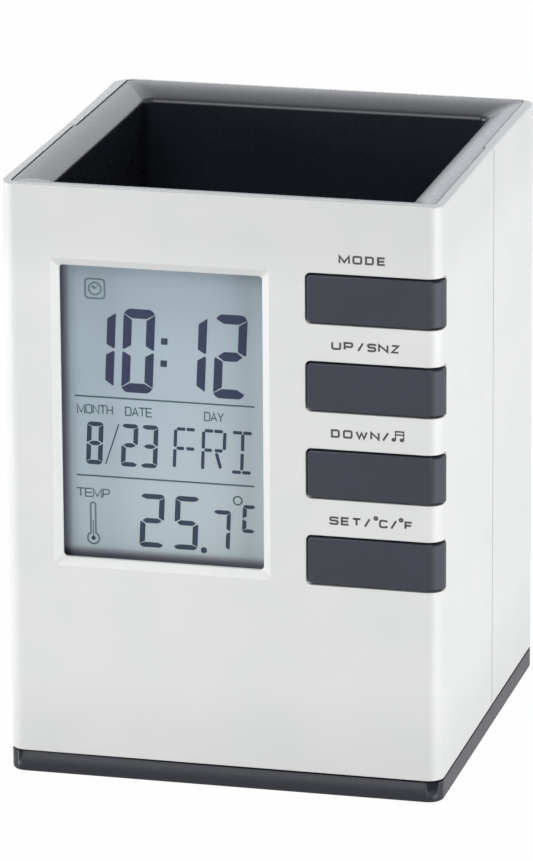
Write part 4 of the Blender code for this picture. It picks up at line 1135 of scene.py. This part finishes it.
def eased(
    points: Sequence[Point], radius: float, closed: bool, which: Iterable[int], steps: int = 3
) -> Outline:
    """Rounds some corners of a line.

    Args:
        points: the line's points
        radius: how far from a corner its rounding starts
        closed: True if the last point joins the first
        which: numbers of the corners to round
        steps: how many pieces a rounding has

    Returns:
        the line with its corners rounded
    """
    rounded: Outline = []
    chosen = set(which)
    count = len(points)
    for i, point in enumerate(points):
        if i not in chosen or (not closed and i in (0, count - 1)):
            rounded.append(point)
            continue
        here = Vector(point)
        before = Vector(points[i - 1]) - here
        after = Vector(points[(i + 1) % count]) - here
        first = here + before.normalized() * min(radius, before.length / 2)
        last = here + after.normalized() * min(radius, after.length / 2)
        for step in range(steps + 1):
            t = step / steps
            spot = first * (1 - t) ** 2 + here * 2 * t * (1 - t) + last * t**2
            rounded.append((spot.x, spot.y))
    return rounded


@dataclass
class Plates:
    """Thin flat shapes on a plane that faces -Y, gathered into one mesh.

    Fields:
        face: Y of the surface that they lie on
        thickness: how far they stand proud of it
    """

    face: float
    thickness: float = 0.02
    mesh: bmesh.types.BMesh = field(default_factory=bmesh.new, init=False)

    def rows(self, points: Sequence[Point]) -> tuple[list[bmesh.types.BMVert], list[bmesh.types.BMVert]]:
        """Adds each point twice, at the front and at the back.

        Args:
            points: X and Z of the points

        Returns:
            the front vertices and the back vertices
        """
        front = [self.mesh.verts.new((x * MM, (self.face - self.thickness) * MM, z * MM)) for x, z in points]
        back = [self.mesh.verts.new((x * MM, self.face * MM, z * MM)) for x, z in points]
        return front, back

    def plate(self, points: Sequence[Point]) -> None:
        """Adds one plate.

        Args:
            points: its outline
        """
        front, back = self.rows(points)
        self.mesh.faces.new(front)
        self.mesh.faces.new(back[::-1])
        for i in range(len(points)):
            j = (i + 1) % len(points)
            self.mesh.faces.new((front[j], front[i], back[i], back[j]))

    def line(self, points: Sequence[Point], width: float, closed: bool = False, longest: float = 2.0) -> None:
        """Adds a line of even width with mitred corners.

        Args:
            points: the middle of the line
            width: its width
            closed: True if its last point joins its first
            longest: how many times half the width a mitre may reach
        """
        count = len(points)
        left, right = [], []
        for i, point in enumerate(points):
            here = Vector(point)
            come = here - Vector(points[i - 1]) if closed or i else Vector(points[1]) - here
            go = Vector(points[(i + 1) % count]) - here if closed or i < count - 1 else come
            come, go = come.normalized(), go.normalized()
            middle = come + go
            middle = middle.normalized() if middle.length > TINY else go
            side = Vector((-middle.y, middle.x))
            reach = width / 2 / max(1 / longest, side.dot(Vector((-go.y, go.x))))
            left.append(tuple(here + side * reach))
            right.append(tuple(here - side * reach))
        left_front, left_back = self.rows(left)
        right_front, right_back = self.rows(right)
        for i in range(count if closed else count - 1):
            j = (i + 1) % count
            self.mesh.faces.new((left_front[i], left_front[j], right_front[j], right_front[i]))
            self.mesh.faces.new((right_back[i], right_back[j], left_back[j], left_back[i]))
            self.mesh.faces.new((left_back[i], left_back[j], left_front[j], left_front[i]))
            self.mesh.faces.new((right_front[i], right_front[j], right_back[j], right_back[i]))
        if not closed:
            self.mesh.faces.new((left_front[0], right_front[0], right_back[0], left_back[0]))
            self.mesh.faces.new((right_front[-1], left_front[-1], left_back[-1], right_back[-1]))

    def dash(self, start: Point, end: Point, width: float, tip: float = 0.22) -> None:
        """Adds a straight bar with pointed ends.

        Args:
            start, end: its two points
            width: its width
            tip: the points' length, as a share of the width
        """
        first, last = Vector(start), Vector(end)
        along = (last - first).normalized() * width * tip
        side = Vector((-along.y, along.x)).normalized() * width / 2
        near, far = first + along, last - along
        points = (first, near - side, far - side, last, far + side, near + side)
        self.plate([tuple(point) for point in points])


@dataclass(frozen=True)
class Letter:
    """A letter drawn with lines in a box one unit high.

    Fields:
        width: the box's width
        lines: the lines' points
        soft: for each line, the numbers of its rounded corners
        closed: for each line, True if it closes
    """

    width: float
    lines: tuple[tuple[Point, ...], ...]
    soft: tuple[tuple[int, ...], ...] = ()
    closed: tuple[bool, ...] = ()


def ring(x: float, z: float, radius: float, steps: int = 16) -> tuple[Point, ...]:
    """Gives the points of a small circle, without its first point twice."""
    return tuple(arc((x, z), radius, 0, 360, steps)[:-1])


# The letters that the words need, with the box that two of them round off
BOWL = ((0, 0), (0, 1), (1, 1), (1, 0))
ALPHABET = {
    "A": Letter(1.05, (((0, 0), (0.5, 1), (1, 0)), ((0.17, 0.32), (0.83, 0.32)))),
    "C": Letter(1, (((1, 0.78), (1, 1), (0, 1), (0, 0), (1, 0), (1, 0.22)),), ((1, 2, 3, 4),)),
    "D": Letter(1, (BOWL,), ((2, 3),), (True,)),
    "E": Letter(0.95, (((1.1, 1), (0, 1), (0, 0), (1.1, 0)), ((0, 0.5), (1, 0.5)))),
    "F": Letter(0.9, (((1.1, 1), (0, 1), (0, 0)), ((0, 0.5), (1, 0.5)))),
    "H": Letter(1, (((0, 0), (0, 1)), ((1, 0), (1, 1)), ((0, 0.5), (1, 0.5)))),
    "M": Letter(1.3, (((0, -0.1), (0, 1), (0.5, 0.06), (1, 1), (1, -0.1)),)),
    "N": Letter(1.05, (((0, 0), (0, 1), (1, 0), (1, 1)),)),
    "O": Letter(1.1, (BOWL,), ((0, 1, 2, 3),), (True,)),
    "P": Letter(1, (((0, 0), (0, 1), (1, 1), (1, 0.42), (0, 0.42)),), ((2, 3),)),
    "S": Letter(
        1,
        (((1, 0.8), (1, 1), (0, 1), (0, 0.52), (1, 0.52), (1, 0), (0, 0), (0, 0.2)),),
        ((1, 2, 3, 4, 5, 6),),
    ),
    "T": Letter(1, (((-0.14, 1), (1.14, 1)), ((0.5, 1), (0.5, 0)))),
    "U": Letter(1.05, (((0, 1), (0, 0), (1, 0), (1, 1)),), ((1, 2),)),
    "W": Letter(1.5, (((0, 1), (0.27, 0), (0.5, 0.85), (0.73, 0), (1, 1)),)),
    "Y": Letter(1.05, (((0, 1), (0.5, 0.45), (1, 1)), ((0.5, 0.45), (0.5, 0)))),
    "Z": Letter(1.05, (((0, 1), (1, 1), (0, 0), (1, 0)),)),
    "/": Letter(0.65, (((-0.14, -0.1), (1.14, 1.1)),)),
    "°": Letter(0.42, (ring(0.5, 0.3, 0.5),), (), (True,)),
}


@dataclass(frozen=True)
class Lettering:
    """How a word is drawn.

    Fields:
        weight: width of its lines
        gap: space between its letters, as a share of their height
        soft: radius of its rounded corners, as a share of their height
    """

    weight: float
    gap: float
    soft: float = 0.24

    def sign(self, plates: Plates, sign: str, left: float, right: float, low: float, high: float) -> None:
        """Draws one letter inside its box.

        Args:
            plates: what the lines are added to
            sign: the letter
            left, right: X of its outer edges
            low, high: Z of the word's foot and top
        """
        half = self.weight / 2
        width, height = right - left - self.weight, high - low - self.weight
        letter = ALPHABET[sign]
        for number, points in enumerate(letter.lines):
            closed = bool(letter.closed) and letter.closed[number]
            corners = letter.soft[number] if letter.soft else ()
            if sign == "°":
                placed = [(left + half + x * width, high + z * width) for x, z in points]
            else:
                placed = [(left + half + x * width, low + half + z * height) for x, z in points]
            plates.line(eased(placed, self.soft * height, closed, corners), self.weight, closed)

    def write(self, plates: Plates, text: str, left: float, right: float, low: float, high: float) -> None:
        """Draws a word inside a box, its letters evenly spaced.

        Args:
            plates: what the lines are added to
            text: the word
            left, right: X of the word's outer edges
            low, high: Z of its foot and its top
        """
        widths = [ALPHABET[sign].width for sign in text]
        whole = sum(widths) + self.gap * (len(text) - 1)
        unit = (right - left - self.weight) / whole
        for sign, width in zip(text, widths):
            self.sign(plates, sign, left, left + width * unit + self.weight, low, high)
            left += (width + self.gap) * unit


@dataclass
class KeyWords(Assembly):
    """The words printed over the keys. They only name what the keys do.

    Fields:
        face: Y of the case's front
        height: height of the letters
        words: each word's letters, its foot and each letter's left and right edge
        style: how they are drawn
        tuned: the word that the notes follow
        note_heads: the middles of the two notes' heads
        note_top: Z of the notes' upper beam
        note_radius, note_stretch: half a head's height, and how many times wider than high it is
        note_sweep, note_steps: degrees and pieces of a head's arc, whose ends join
        stem, stem_weight: how far right of a head's middle its stem stands, and the stem's width
        beams, beam_weight: how far under the top the two beams lie, and their width
    """

    face: float = -40.0
    height: float = 1.56
    words: tuple[tuple[str, float, tuple[Point, ...]], ...] = (
        ("MODE", 98.91, ((21.53, 23.63), (24.04, 25.81), (26.3, 27.9), (28.45, 29.92))),
        (
            "UP/SNZ",
            83.18,
            ((20.18, 22.0), (22.41, 24.16), (24.95, 25.98), (26.68, 28.29), (28.6, 30.49), (30.92, 32.45)),
        ),
        ("DOWN/", 67.08, ((20.08, 21.7), (22.25, 24.01), (24.52, 26.75), (27.17, 28.9), (29.41, 30.5))),
        (
            "SET/°C/°F",
            51.0,
            (
                (19.73, 21.44), (21.82, 23.33), (23.96, 25.41), (26.1, 27.14), (27.74, 28.62),
                (28.75, 30.32), (30.89, 31.93), (32.3, 33.18), (33.34, 34.75),
            ),
        ),
    )
    style: Lettering = Lettering(0.37, 0.5)
    tuned: str = "down"
    note_heads: tuple[Point, Point] = ((31.42, 67.42), (32.88, 67.42))
    note_top: float = 69.07
    note_radius: float = 0.36
    note_stretch: float = 1.15
    note_sweep: float = 345.0
    note_steps: int = 14
    stem: float = 0.33
    stem_weight: float = 0.2
    beams: tuple[float, ...] = (0.14, 0.72)
    beam_weight: float = 0.28

    def add_notes(self, plates: Plates) -> None:
        """Draws the two joined notes that stand for the alarm's tune.

        Args:
            plates: what the shapes are added to
        """
        head = arc((0.0, 0.0), self.note_radius, 0, self.note_sweep, self.note_steps)
        for x, z in self.note_heads:
            plates.plate([(x + px * self.note_stretch, z + pz) for px, pz in head])
            plates.line([(x + self.stem, z), (x + self.stem, self.note_top)], self.stem_weight)
        left, right = (x + self.stem for x, _ in self.note_heads)
        half = self.stem_weight / 2
        for drop in self.beams:
            level = self.note_top - drop
            plates.line([(left - half, level), (right + half, level)], self.beam_weight)

    def build(self) -> None:
        """Prints each word."""
        for text, low, edges in self.words:
            plates = Plates(self.face)
            for sign, (left, right) in zip(text, edges):
                self.style.sign(plates, sign, left, right, low, low + self.height)
            name = text.split("/")[0].lower()
            if name == self.tuned:
                self.add_notes(plates)
            self.keep(made(plates.mesh, "print_" + name), LABEL_INK, Slot.DARK_ABS, "case")


# The heavy figures of the time, and the date's narrow ones with their short middle bars
BIG_FIGURE = Figure(5.8, 15.5, 1.57, 1.74)
DATE_FIGURE = Figure(3.02, 7.95, 0.85, 0.82, full=False)


@dataclass(frozen=True)
class Row:
    """A row of figures that the display shows.

    Fields:
        name: the piece's name
        style: how its figures are drawn
        low: Z of their feet
        figures: what it shows
        lefts: X of each figure's left side at half its height
        tone: how dark it is
    """

    name: str
    style: Figure
    low: float
    figures: str
    lefts: tuple[float, ...]
    tone: SegmentTone = SegmentTone.PLAIN

    def draw(self, plates: Plates) -> None:
        """Draws the row's figures.

        Args:
            plates: what their bars are added to
        """
        for sign, left in zip(self.figures, self.lefts):
            for outline in self.style.figure(sign, left, self.low):
                plates.plate(outline)


@dataclass(frozen=True)
class ClockSign:
    """The clock sign: a square with soft corners, a ring and two hands.

    Fields:
        left, low, side: place and width of the square
        soft: how far from its corners their rounding starts
        frame: width of the square's line
        radius, rim: radius of the ring and width of its line
        hands: each hand's start and end from the ring's middle, and its width
    """

    left: float = -26.02
    low: float = 88.28
    side: float = 3.58
    soft: float = 0.7
    frame: float = 0.32
    radius: float = 1.14
    rim: float = 0.3
    hands: tuple[tuple[Point, Point, float], ...] = (
        ((0.0, 0.0), (-0.5, 0.5), 0.46),
        ((0.0, -0.05), (0.5, 0.62), 0.16),
    )

    def draw(self, plates: Plates) -> None:
        """Draws the sign.

        Args:
            plates: what the shapes are added to
        """
        right, high = self.left + self.side, self.low + self.side
        square = [(self.left, self.low), (right, self.low), (right, high), (self.left, high)]
        plates.line(eased(square, self.soft, True, range(4)), self.frame, True)
        x, z = self.left + self.side / 2, self.low + self.side / 2
        plates.line(ring(x, z, self.radius), self.rim, True)
        for start, end, weight in self.hands:
            plates.line([(x + px, z + pz) for px, pz in (start, end)], weight)


@dataclass(frozen=True)
class ThermometerSign:
    """The thermometer sign: a glass tube with a bulb, its column and the drop inside the bulb.

    Fields:
        x: X of the tube's middle
        bulb, radius: Z of the bulb's middle, and its radius
        top, half: Z of the tube's upper arc, and half the tube's width
        glass: width of the outline
        column: half the column's width, then how far above the bulb's middle and up to what Z it runs
        drop: radius of the drop
        steps: pieces of the bulb's arc and of the upper one
    """

    x: float = -25.12
    bulb: float = 43.6
    radius: float = 1.08
    top: float = 49.85
    half: float = 0.45
    glass: float = 0.32
    column: tuple[float, float, float] = (0.1, 0.3, 47.0)
    drop: float = 0.4
    steps: tuple[int, int] = (20, 6)

    def draw_tube(self, plates: Plates) -> None:
        """Draws the glass and its column.

        Args:
            plates: what the shapes are added to
        """
        join = math.degrees(math.asin(self.half / self.radius))
        outline = arc((self.x, self.bulb), self.radius, 90 + join, 450 - join, self.steps[0])
        outline += arc((self.x, self.top), self.half, 0, 180, self.steps[1])
        plates.line(outline, self.glass, True)
        half, rise, high = self.column
        left, right, low = self.x - half, self.x + half, self.bulb + rise
        plates.plate([(left, low), (right, low), (right, high), (left, high)])

    def draw_drop(self, plates: Plates) -> None:
        """Draws the drop inside the bulb."""
        plates.plate(ring(self.x, self.bulb, self.drop, 18))


@dataclass
class Display(Assembly):
    """The lens, the frame and the glass, with the figures that the glass shows.

    Fields:
        face: Y of the glass's front
        holder_edge: radius of the frame's edges
        rows: the time, the date and the temperature
        day: the ends of each bar of the day, which is drawn in the split bars of a fourteen-bar figure
        day_bar: width of those bars
        row_names: the words that name the rows, each with its left, right, foot and top
        name_style: how they are drawn
        rules, rule_weight: left, right and Z of the two ruled lines, and their width
        colon: the foot and the right edge of its two dots
        dot, dot_lean: width and height of a dot, and how far its top lies to the right
        point, point_radius: middle and radius of the point before the tenth
        slash, slash_weight: ends and width of the stroke between month and date
        degree, degree_weight: place and radius of the degree ring, and its width
        clock, thermometer: the two signs
    """

    face: float = -34.5
    holder_edge: float = 0.1
    rows: tuple[Row, ...] = (
        Row("figures_time", BIG_FIGURE, 71.27, "1012", (-26.5, -19.28, -9.72, -2.4), SegmentTone.HEAVY),
        Row("figures_date", DATE_FIGURE, 57.45, "823", (-26.14, -19.7, -16.0)),
        Row("figures_temperature", Figure(4.4, 10.0, 1.0, 0.94), 42.6, "25", (-16.4, -10.05)),
        Row("figure_tenth", Figure(3.15, 7.8, 0.75, 0.76), 42.65, "7", (-2.92,)),
        Row("figure_unit", Figure(2.3, 5.2, 0.74, 0.7), 46.55, "C", (2.5,)),
    )
    day: tuple[tuple[Point, Point], ...] = (
        ((-9.64, 64.95), (-9.8, 61.7)), ((-9.83, 61.3), (-9.98, 57.9)), ((-9.48, 65.1), (-7.82, 65.1)),
        ((-7.68, 65.1), (-6.1, 65.1)), ((-9.55, 61.5), (-8.1, 61.5)), ((-7.75, 61.5), (-6.25, 61.5)),
        ((-4.5, 64.95), (-4.62, 61.7)), ((-4.64, 61.3), (-4.78, 57.9)), ((-4.33, 65.1), (-2.74, 65.1)),
        ((-2.6, 65.1), (-0.95, 65.1)), ((-0.6, 64.95), (-0.76, 61.7)), ((-4.42, 61.5), (-2.98, 61.5)),
        ((-2.55, 61.5), (-1.05, 61.5)), ((-2.22, 61.05), (-1.45, 58.2)), ((0.85, 65.1), (2.58, 65.1)),
        ((2.72, 65.1), (4.35, 65.1)), ((2.67, 64.85), (2.6, 61.7)), ((2.54, 61.3), (2.42, 58.15)),
        ((0.62, 57.75), (2.32, 57.75)), ((2.46, 57.75), (4.08, 57.75)),
    )
    day_bar: float = 0.6
    row_names: tuple[tuple[str, float, float, float, float], ...] = (
        ("MONTH", -27.84, -21.19, 66.85, 68.6),
        ("DATE", -18.96, -13.99, 66.85, 68.6),
        ("DAY", -4.41, -0.76, 66.85, 68.6),
        ("TEMP", -28.08, -21.96, 51.25, 52.95),
    )
    name_style: Lettering = Lettering(0.22, 0.28)
    rules: tuple[Triple, ...] = ((-28.2, 4.85, 70.07), (-28.1, 4.74, 55.3))
    rule_weight: float = 0.3
    colon: tuple[Point, ...] = ((80.5, -11.0), (76.4, -11.15))
    dot: float = 1.2
    dot_lean: float = 0.06
    point: Point = (-4.67, 42.75)
    point_radius: float = 0.58
    slash: tuple[Point, Point] = ((-22.65, 57.65), (-20.13, 65.22))
    slash_weight: float = 0.22
    degree: Triple = (1.65, 52.45, 0.78)
    degree_weight: float = 0.28
    clock: ClockSign = ClockSign()
    thermometer: ThermometerSign = ThermometerSign()

    def show(self, name: str, tone: SegmentTone, draw: Callable[[Plates], None]) -> None:
        """Adds what the glass shows in one tone.

        Args:
            name: the piece's name
            tone: how dark it is
            draw: adds its shapes to some plates
        """
        plates = Plates(self.face)
        draw(plates)
        self.keep(made(plates.mesh, name), tone.value, Slot.DISPLAY_GLASS, "case")

    def build(self) -> None:
        """Makes the lens, frame and glass, then what the glass shows."""
        edge = (EdgeRound(self.holder_edge, every_edge),)
        self.finished("display_lens", CLEAR_ACRYLIC, Slot.CLEAR_ACRYLIC)
        self.finished("lcd_holder", BLACK_PLASTIC, Slot.BLACK_PLASTIC, edge)
        self.finished("lcd_glass", DISPLAY_GLASS, Slot.DISPLAY_GLASS)
        self.dressed("lcd_reflector", REFLECTOR_FILM)
        self.dressed("lcd_connector_top", BLACK_RUBBER)
        self.dressed("lcd_connector_bottom", BLACK_RUBBER)
        for row in self.rows:
            self.show(row.name, row.tone, row.draw)
        self.show("figures_day", SegmentTone.PLAIN, self.draw_day)
        self.show("words_display", SegmentTone.FINE, self.draw_names)
        self.show("lines_display", SegmentTone.FINE, self.draw_rules)
        self.show("marks_display", SegmentTone.PLAIN, self.draw_marks)
        self.show("degree_display", SegmentTone.FINE, self.draw_degree)
        self.show("sign_clock", SegmentTone.PALE, self.clock.draw)
        self.show("sign_thermometer", SegmentTone.PALE, self.thermometer.draw_tube)
        self.show("drop_thermometer", SegmentTone.PLAIN, self.thermometer.draw_drop)

    def draw_day(self, plates: Plates) -> None:
        """Draws the day."""
        for start, end in self.day:
            plates.dash(start, end, self.day_bar)

    def draw_names(self, plates: Plates) -> None:
        """Draws the words that name the rows."""
        for place in self.row_names:
            self.name_style.write(plates, *place)

    def draw_rules(self, plates: Plates) -> None:
        """Draws the two ruled lines between the rows."""
        for left, right, level in self.rules:
            plates.line([(left, level), (right, level)], self.rule_weight)

    def draw_marks(self, plates: Plates) -> None:
        """Draws the colon, whose dots lean like the figures, the point and the stroke in the date.

        Args:
            plates: what the shapes are added to
        """
        for low, right in self.colon:
            foot = [(right - self.dot, low), (right, low)]
            plates.plate(foot + [(x + self.dot_lean, low + self.dot) for x, _ in foot[::-1]])
        plates.plate(ring(*self.point, self.point_radius, 18))
        plates.line(self.slash, self.slash_weight)

    def draw_degree(self, plates: Plates) -> None:
        """Draws the degree ring beside the unit."""
        plates.line(ring(*self.degree), self.degree_weight, True)


@dataclass
class Works(Assembly):
    """What the case holds: the board with its parts, the cells with their contacts, and the leads.

    Fields:
        flat_end, raised_end: how far from a cell's two ends its jacket stops
        band: length of the jacket's band, which is at the raised end
    """

    flat_end: float = 0.6
    raised_end: float = 1.4
    band: float = 11.0

    def build(self) -> None:
        """Dresses the board's parts, the switches, the cells and the contacts."""
        self.dressed("circuit_board", BOARD_LAMINATE)
        for node in ("clock_chip_cover", "temperature_sensor"):
            self.finished(node, BLACK_EPOXY, Slot.BLACK_EPOXY)
        self.finished("alarm_buzzer", BLACK_PLASTIC, Slot.BLACK_PLASTIC)
        self.finished("battery_socket", WHITE_NYLON, Slot.WHITE_NYLON)
        self.finished("timing_crystal", BRIGHT_STEEL, Slot.BRIGHT_STEEL)
        for number in (1, 2):
            self.finished(f"board_screw_{number}", BRIGHT_STEEL, Slot.BRIGHT_STEEL)
            self.finished(f"battery_spring_{number}", NICKEL_PLATE, Slot.NICKEL_PLATE)
        for name in ("mode", "up", "down", "set"):
            self.finished(name + "_switch", BLACK_PLASTIC, Slot.BLACK_PLASTIC)
            self.finished(name + "_plunger", GREY_NYLON, Slot.GREY_NYLON)
        for node in ("contact_plate_negative", "contact_plate_positive", "contact_bridge"):
            self.finished(node, NICKEL_PLATE, Slot.NICKEL_PLATE)
        self.finished("battery_lead_black", BLACK_WIRE, Slot.BLACK_WIRE)
        self.finished("battery_lead_red", RED_WIRE, Slot.RED_WIRE)
        for number in (1, 2):
            low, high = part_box(f"battery_{number}")
            right = number == 2
            bare = (self.flat_end, self.raised_end) if right else (self.raised_end, self.flat_end)
            ends = (low.x / MM + bare[0], high.x / MM - bare[1])
            edge = ends[1] - self.band if right else ends[0] + self.band
            jacket = ShrunkJacket(f"shrunk cell jacket {number}", "22252B", "B9793A", ends, edge, right)
            self.finished(f"battery_{number}", jacket, Slot.CELL_JACKET)


def seen(tree: Tree) -> Socket:
    """Adds nodes that tell what the camera, mirrors and clear pieces see from what lights the object.

    Args:
        tree: the node tree

    Returns:
        an output that is 1 for seen rays and 0 for light
    """
    rays = add_node(tree, "ShaderNodeLightPath").outputs
    both = {0: rays["Is Camera Ray"], 1: rays["Is Glossy Ray"]}
    both = add_node(tree, "ShaderNodeMath", {"operation": "MAXIMUM"}, both).outputs[0]
    every = {0: both, 1: rays["Is Transmission Ray"]}
    return add_node(tree, "ShaderNodeMath", {"operation": "MAXIMUM"}, every).outputs[0]


@dataclass(frozen=True)
class PaintedBoard(Finish):
    """A board painted matt white, which keeps a soft trace of the clock's shadow.

    Fields:
        colour, shade: sRGB hex, the board and its slightly darker patches
        patches: spacing of those patches, in millimetres
        roughness: of the paint
        white: share of plain white in what the camera sees of the board
    """

    colour: str
    shade: str
    patches: float = 40.0
    roughness: float = 0.9
    white: float = 0.985

    def shader(self, tree: Tree) -> Socket:
        """Adds the paint and the white glow over it.

        Args:
            tree: the material's node tree

        Returns:
            the shader's output
        """
        colour = self.between(tree, Speckle(self.patches).value(tree), self.colour, self.shade)
        paint = {"Base Color": colour, "Roughness": self.roughness}
        share = {0: seen(tree), 1: self.white}
        parts = {
            0: add_node(tree, "ShaderNodeMath", {"operation": "MULTIPLY"}, share).outputs[0],
            1: add_node(tree, "ShaderNodeBsdfPrincipled", inputs=paint).outputs[0],
            2: add_node(tree, "ShaderNodeEmission").outputs[0],
        }
        return add_node(tree, "ShaderNodeMixShader", inputs=parts).outputs[0]


# Matt white paint on a flat board: the clock stands on plain white with a faint shadow.
WHITE_BOARD = PaintedBoard("matt white painted board", "EFEFEF", "ECECEC")


@dataclass(frozen=True)
class Softbox:
    """A soft lamp that points at the clock.

    Fields:
        name: the lamp's name
        place: its place in metres
        size: its width and height in metres
        power: watts
        tone: sRGB hex, the colour of its light
    """

    name: str
    place: Triple
    size: Point
    power: float
    tone: str = "FFFFFF"


@dataclass
class Studio:
    """A pale floor, soft light and the camera.

    Fields:
        aim: the point in metres that the lamps face
        sky: strength of the white surroundings as light
        floor_half: half the floor's width in metres
        lamps: the softboxes
        camera_place: metres
        azimuth, elevation, roll: degrees
        lens, sensor: focal length and sensor width in millimetres
        reach: the nearest and the farthest that the camera sees, in metres
    """

    aim: Triple = (0.0, 0.0, 0.055)
    sky: float = 0.1
    floor_half: float = 4.0
    lamps: tuple[Softbox, ...] = (
        Softbox("softbox_left", (-0.913, -0.262, 0.18), (0.5, 0.3), 6.5),
        Softbox("strip_right_front", (0.82, -0.475, 0.07), (0.45, 0.12), 3.9),
        Softbox("strip_right", (0.95, 0.0, 0.07), (0.45, 0.12), 2.2),
        Softbox("strip_right_back", (0.82, 0.475, 0.07), (0.45, 0.12), 0.6),
        Softbox("softbox_front", (-0.2, -1.2, 0.9), (0.9, 0.9), 7.4),
        Softbox("softbox_back", (0.0, 1.15, 0.85), (1.5, 1.5), 6.0, "EFF5FF"),
        Softbox("strip_back", (0.0, 1.4, 0.3), (1.6, 0.5), 0.8, "EFF5FF"),
    )
    camera_place: Triple = (0.2717, -1.0817, 0.3918)
    azimuth: float = 14.185
    elevation: float = 16.791
    roll: float = -0.381
    lens: float = 266.12
    sensor: float = 36.0
    reach: tuple[float, float] = (0.05, 20.0)

    def build_world(self) -> None:
        """Makes the white surroundings, which are plain white to look at and weaker as light."""
        world = bpy.data.worlds.new("white studio")
        world.use_nodes = True
        tree = world.node_tree
        tree.nodes.clear()
        light = {"Color": WHITE, "Strength": self.sky}
        parts = {
            0: seen(tree),
            1: add_node(tree, "ShaderNodeBackground", inputs=light).outputs[0],
            2: add_node(tree, "ShaderNodeBackground", inputs={"Color": WHITE}).outputs[0],
        }
        mixed = add_node(tree, "ShaderNodeMixShader", inputs=parts).outputs[0]
        add_node(tree, "ShaderNodeOutputWorld", inputs={"Surface": mixed})
        bpy.context.scene.world = world

    def build_floor(self) -> None:
        """Makes the floor, which keeps a soft trace of the clock's shadow."""
        half = self.floor_half
        data = bpy.data.meshes.new("floor")
        corners = [(-half, -half, 0), (half, -half, 0), (half, half, 0), (-half, half, 0)]
        data.from_pydata(corners, [], [range(4)])
        data.materials.append(WHITE_BOARD.material())
        floor = placed("floor", data)

    def build_lamps(self) -> None:
        """Places the softboxes, each facing the clock."""
        for lamp in self.lamps:
            light = bpy.data.lights.new(lamp.name, "AREA")
            light.shape = "RECTANGLE"
            light.size, light.size_y = lamp.size
            light.energy = lamp.power
            light.color = linear(lamp.tone)[:3]
            piece = placed(lamp.name, light)
            piece.location = lamp.place
            away = Vector(self.aim) - Vector(lamp.place)
            piece.rotation_euler = away.to_track_quat("-Z", "Y").to_euler()
            LOG.info("lamp %s, %.1f W", lamp.name, lamp.power)

    def build_camera(self) -> None:
        """Places the camera at the photograph's viewing angle."""
        data = bpy.data.cameras.new("camera")
        data.lens = self.lens
        data.sensor_width = self.sensor
        data.clip_start, data.clip_end = self.reach
        camera = placed("camera", data)
        turn = Matrix.Rotation(math.radians(self.azimuth), 4, "Z")
        tilt = Matrix.Rotation(math.radians(90 - self.elevation), 4, "X")
        roll = Matrix.Rotation(math.radians(self.roll), 4, "Z")
        camera.matrix_world = Matrix.Translation(self.camera_place) @ turn @ tilt @ roll
        bpy.context.scene.camera = camera

    def build(self) -> None:
        """Makes the surroundings, the lamps and the camera."""
        bpy.context.scene.view_settings.view_transform = "Standard"
        self.build_world()
        self.build_floor()
        self.build_lamps()
        self.build_camera()


def main() -> None:
    """Builds the studio and every sub-assembly, and reports each piece."""
    logging.basicConfig(level=logging.INFO, format="%(name)s: %(message)s")
    Studio().build()
    for kind in (Casing, PenCup, Base, Keypad, KeyWords, Display, Works):
        group = kind(frame)
        group.build()
        for piece in group.pieces:
            LOG.info("%s: %s", kind.__name__, piece.name)


if __name__ == "__main__":
    main()
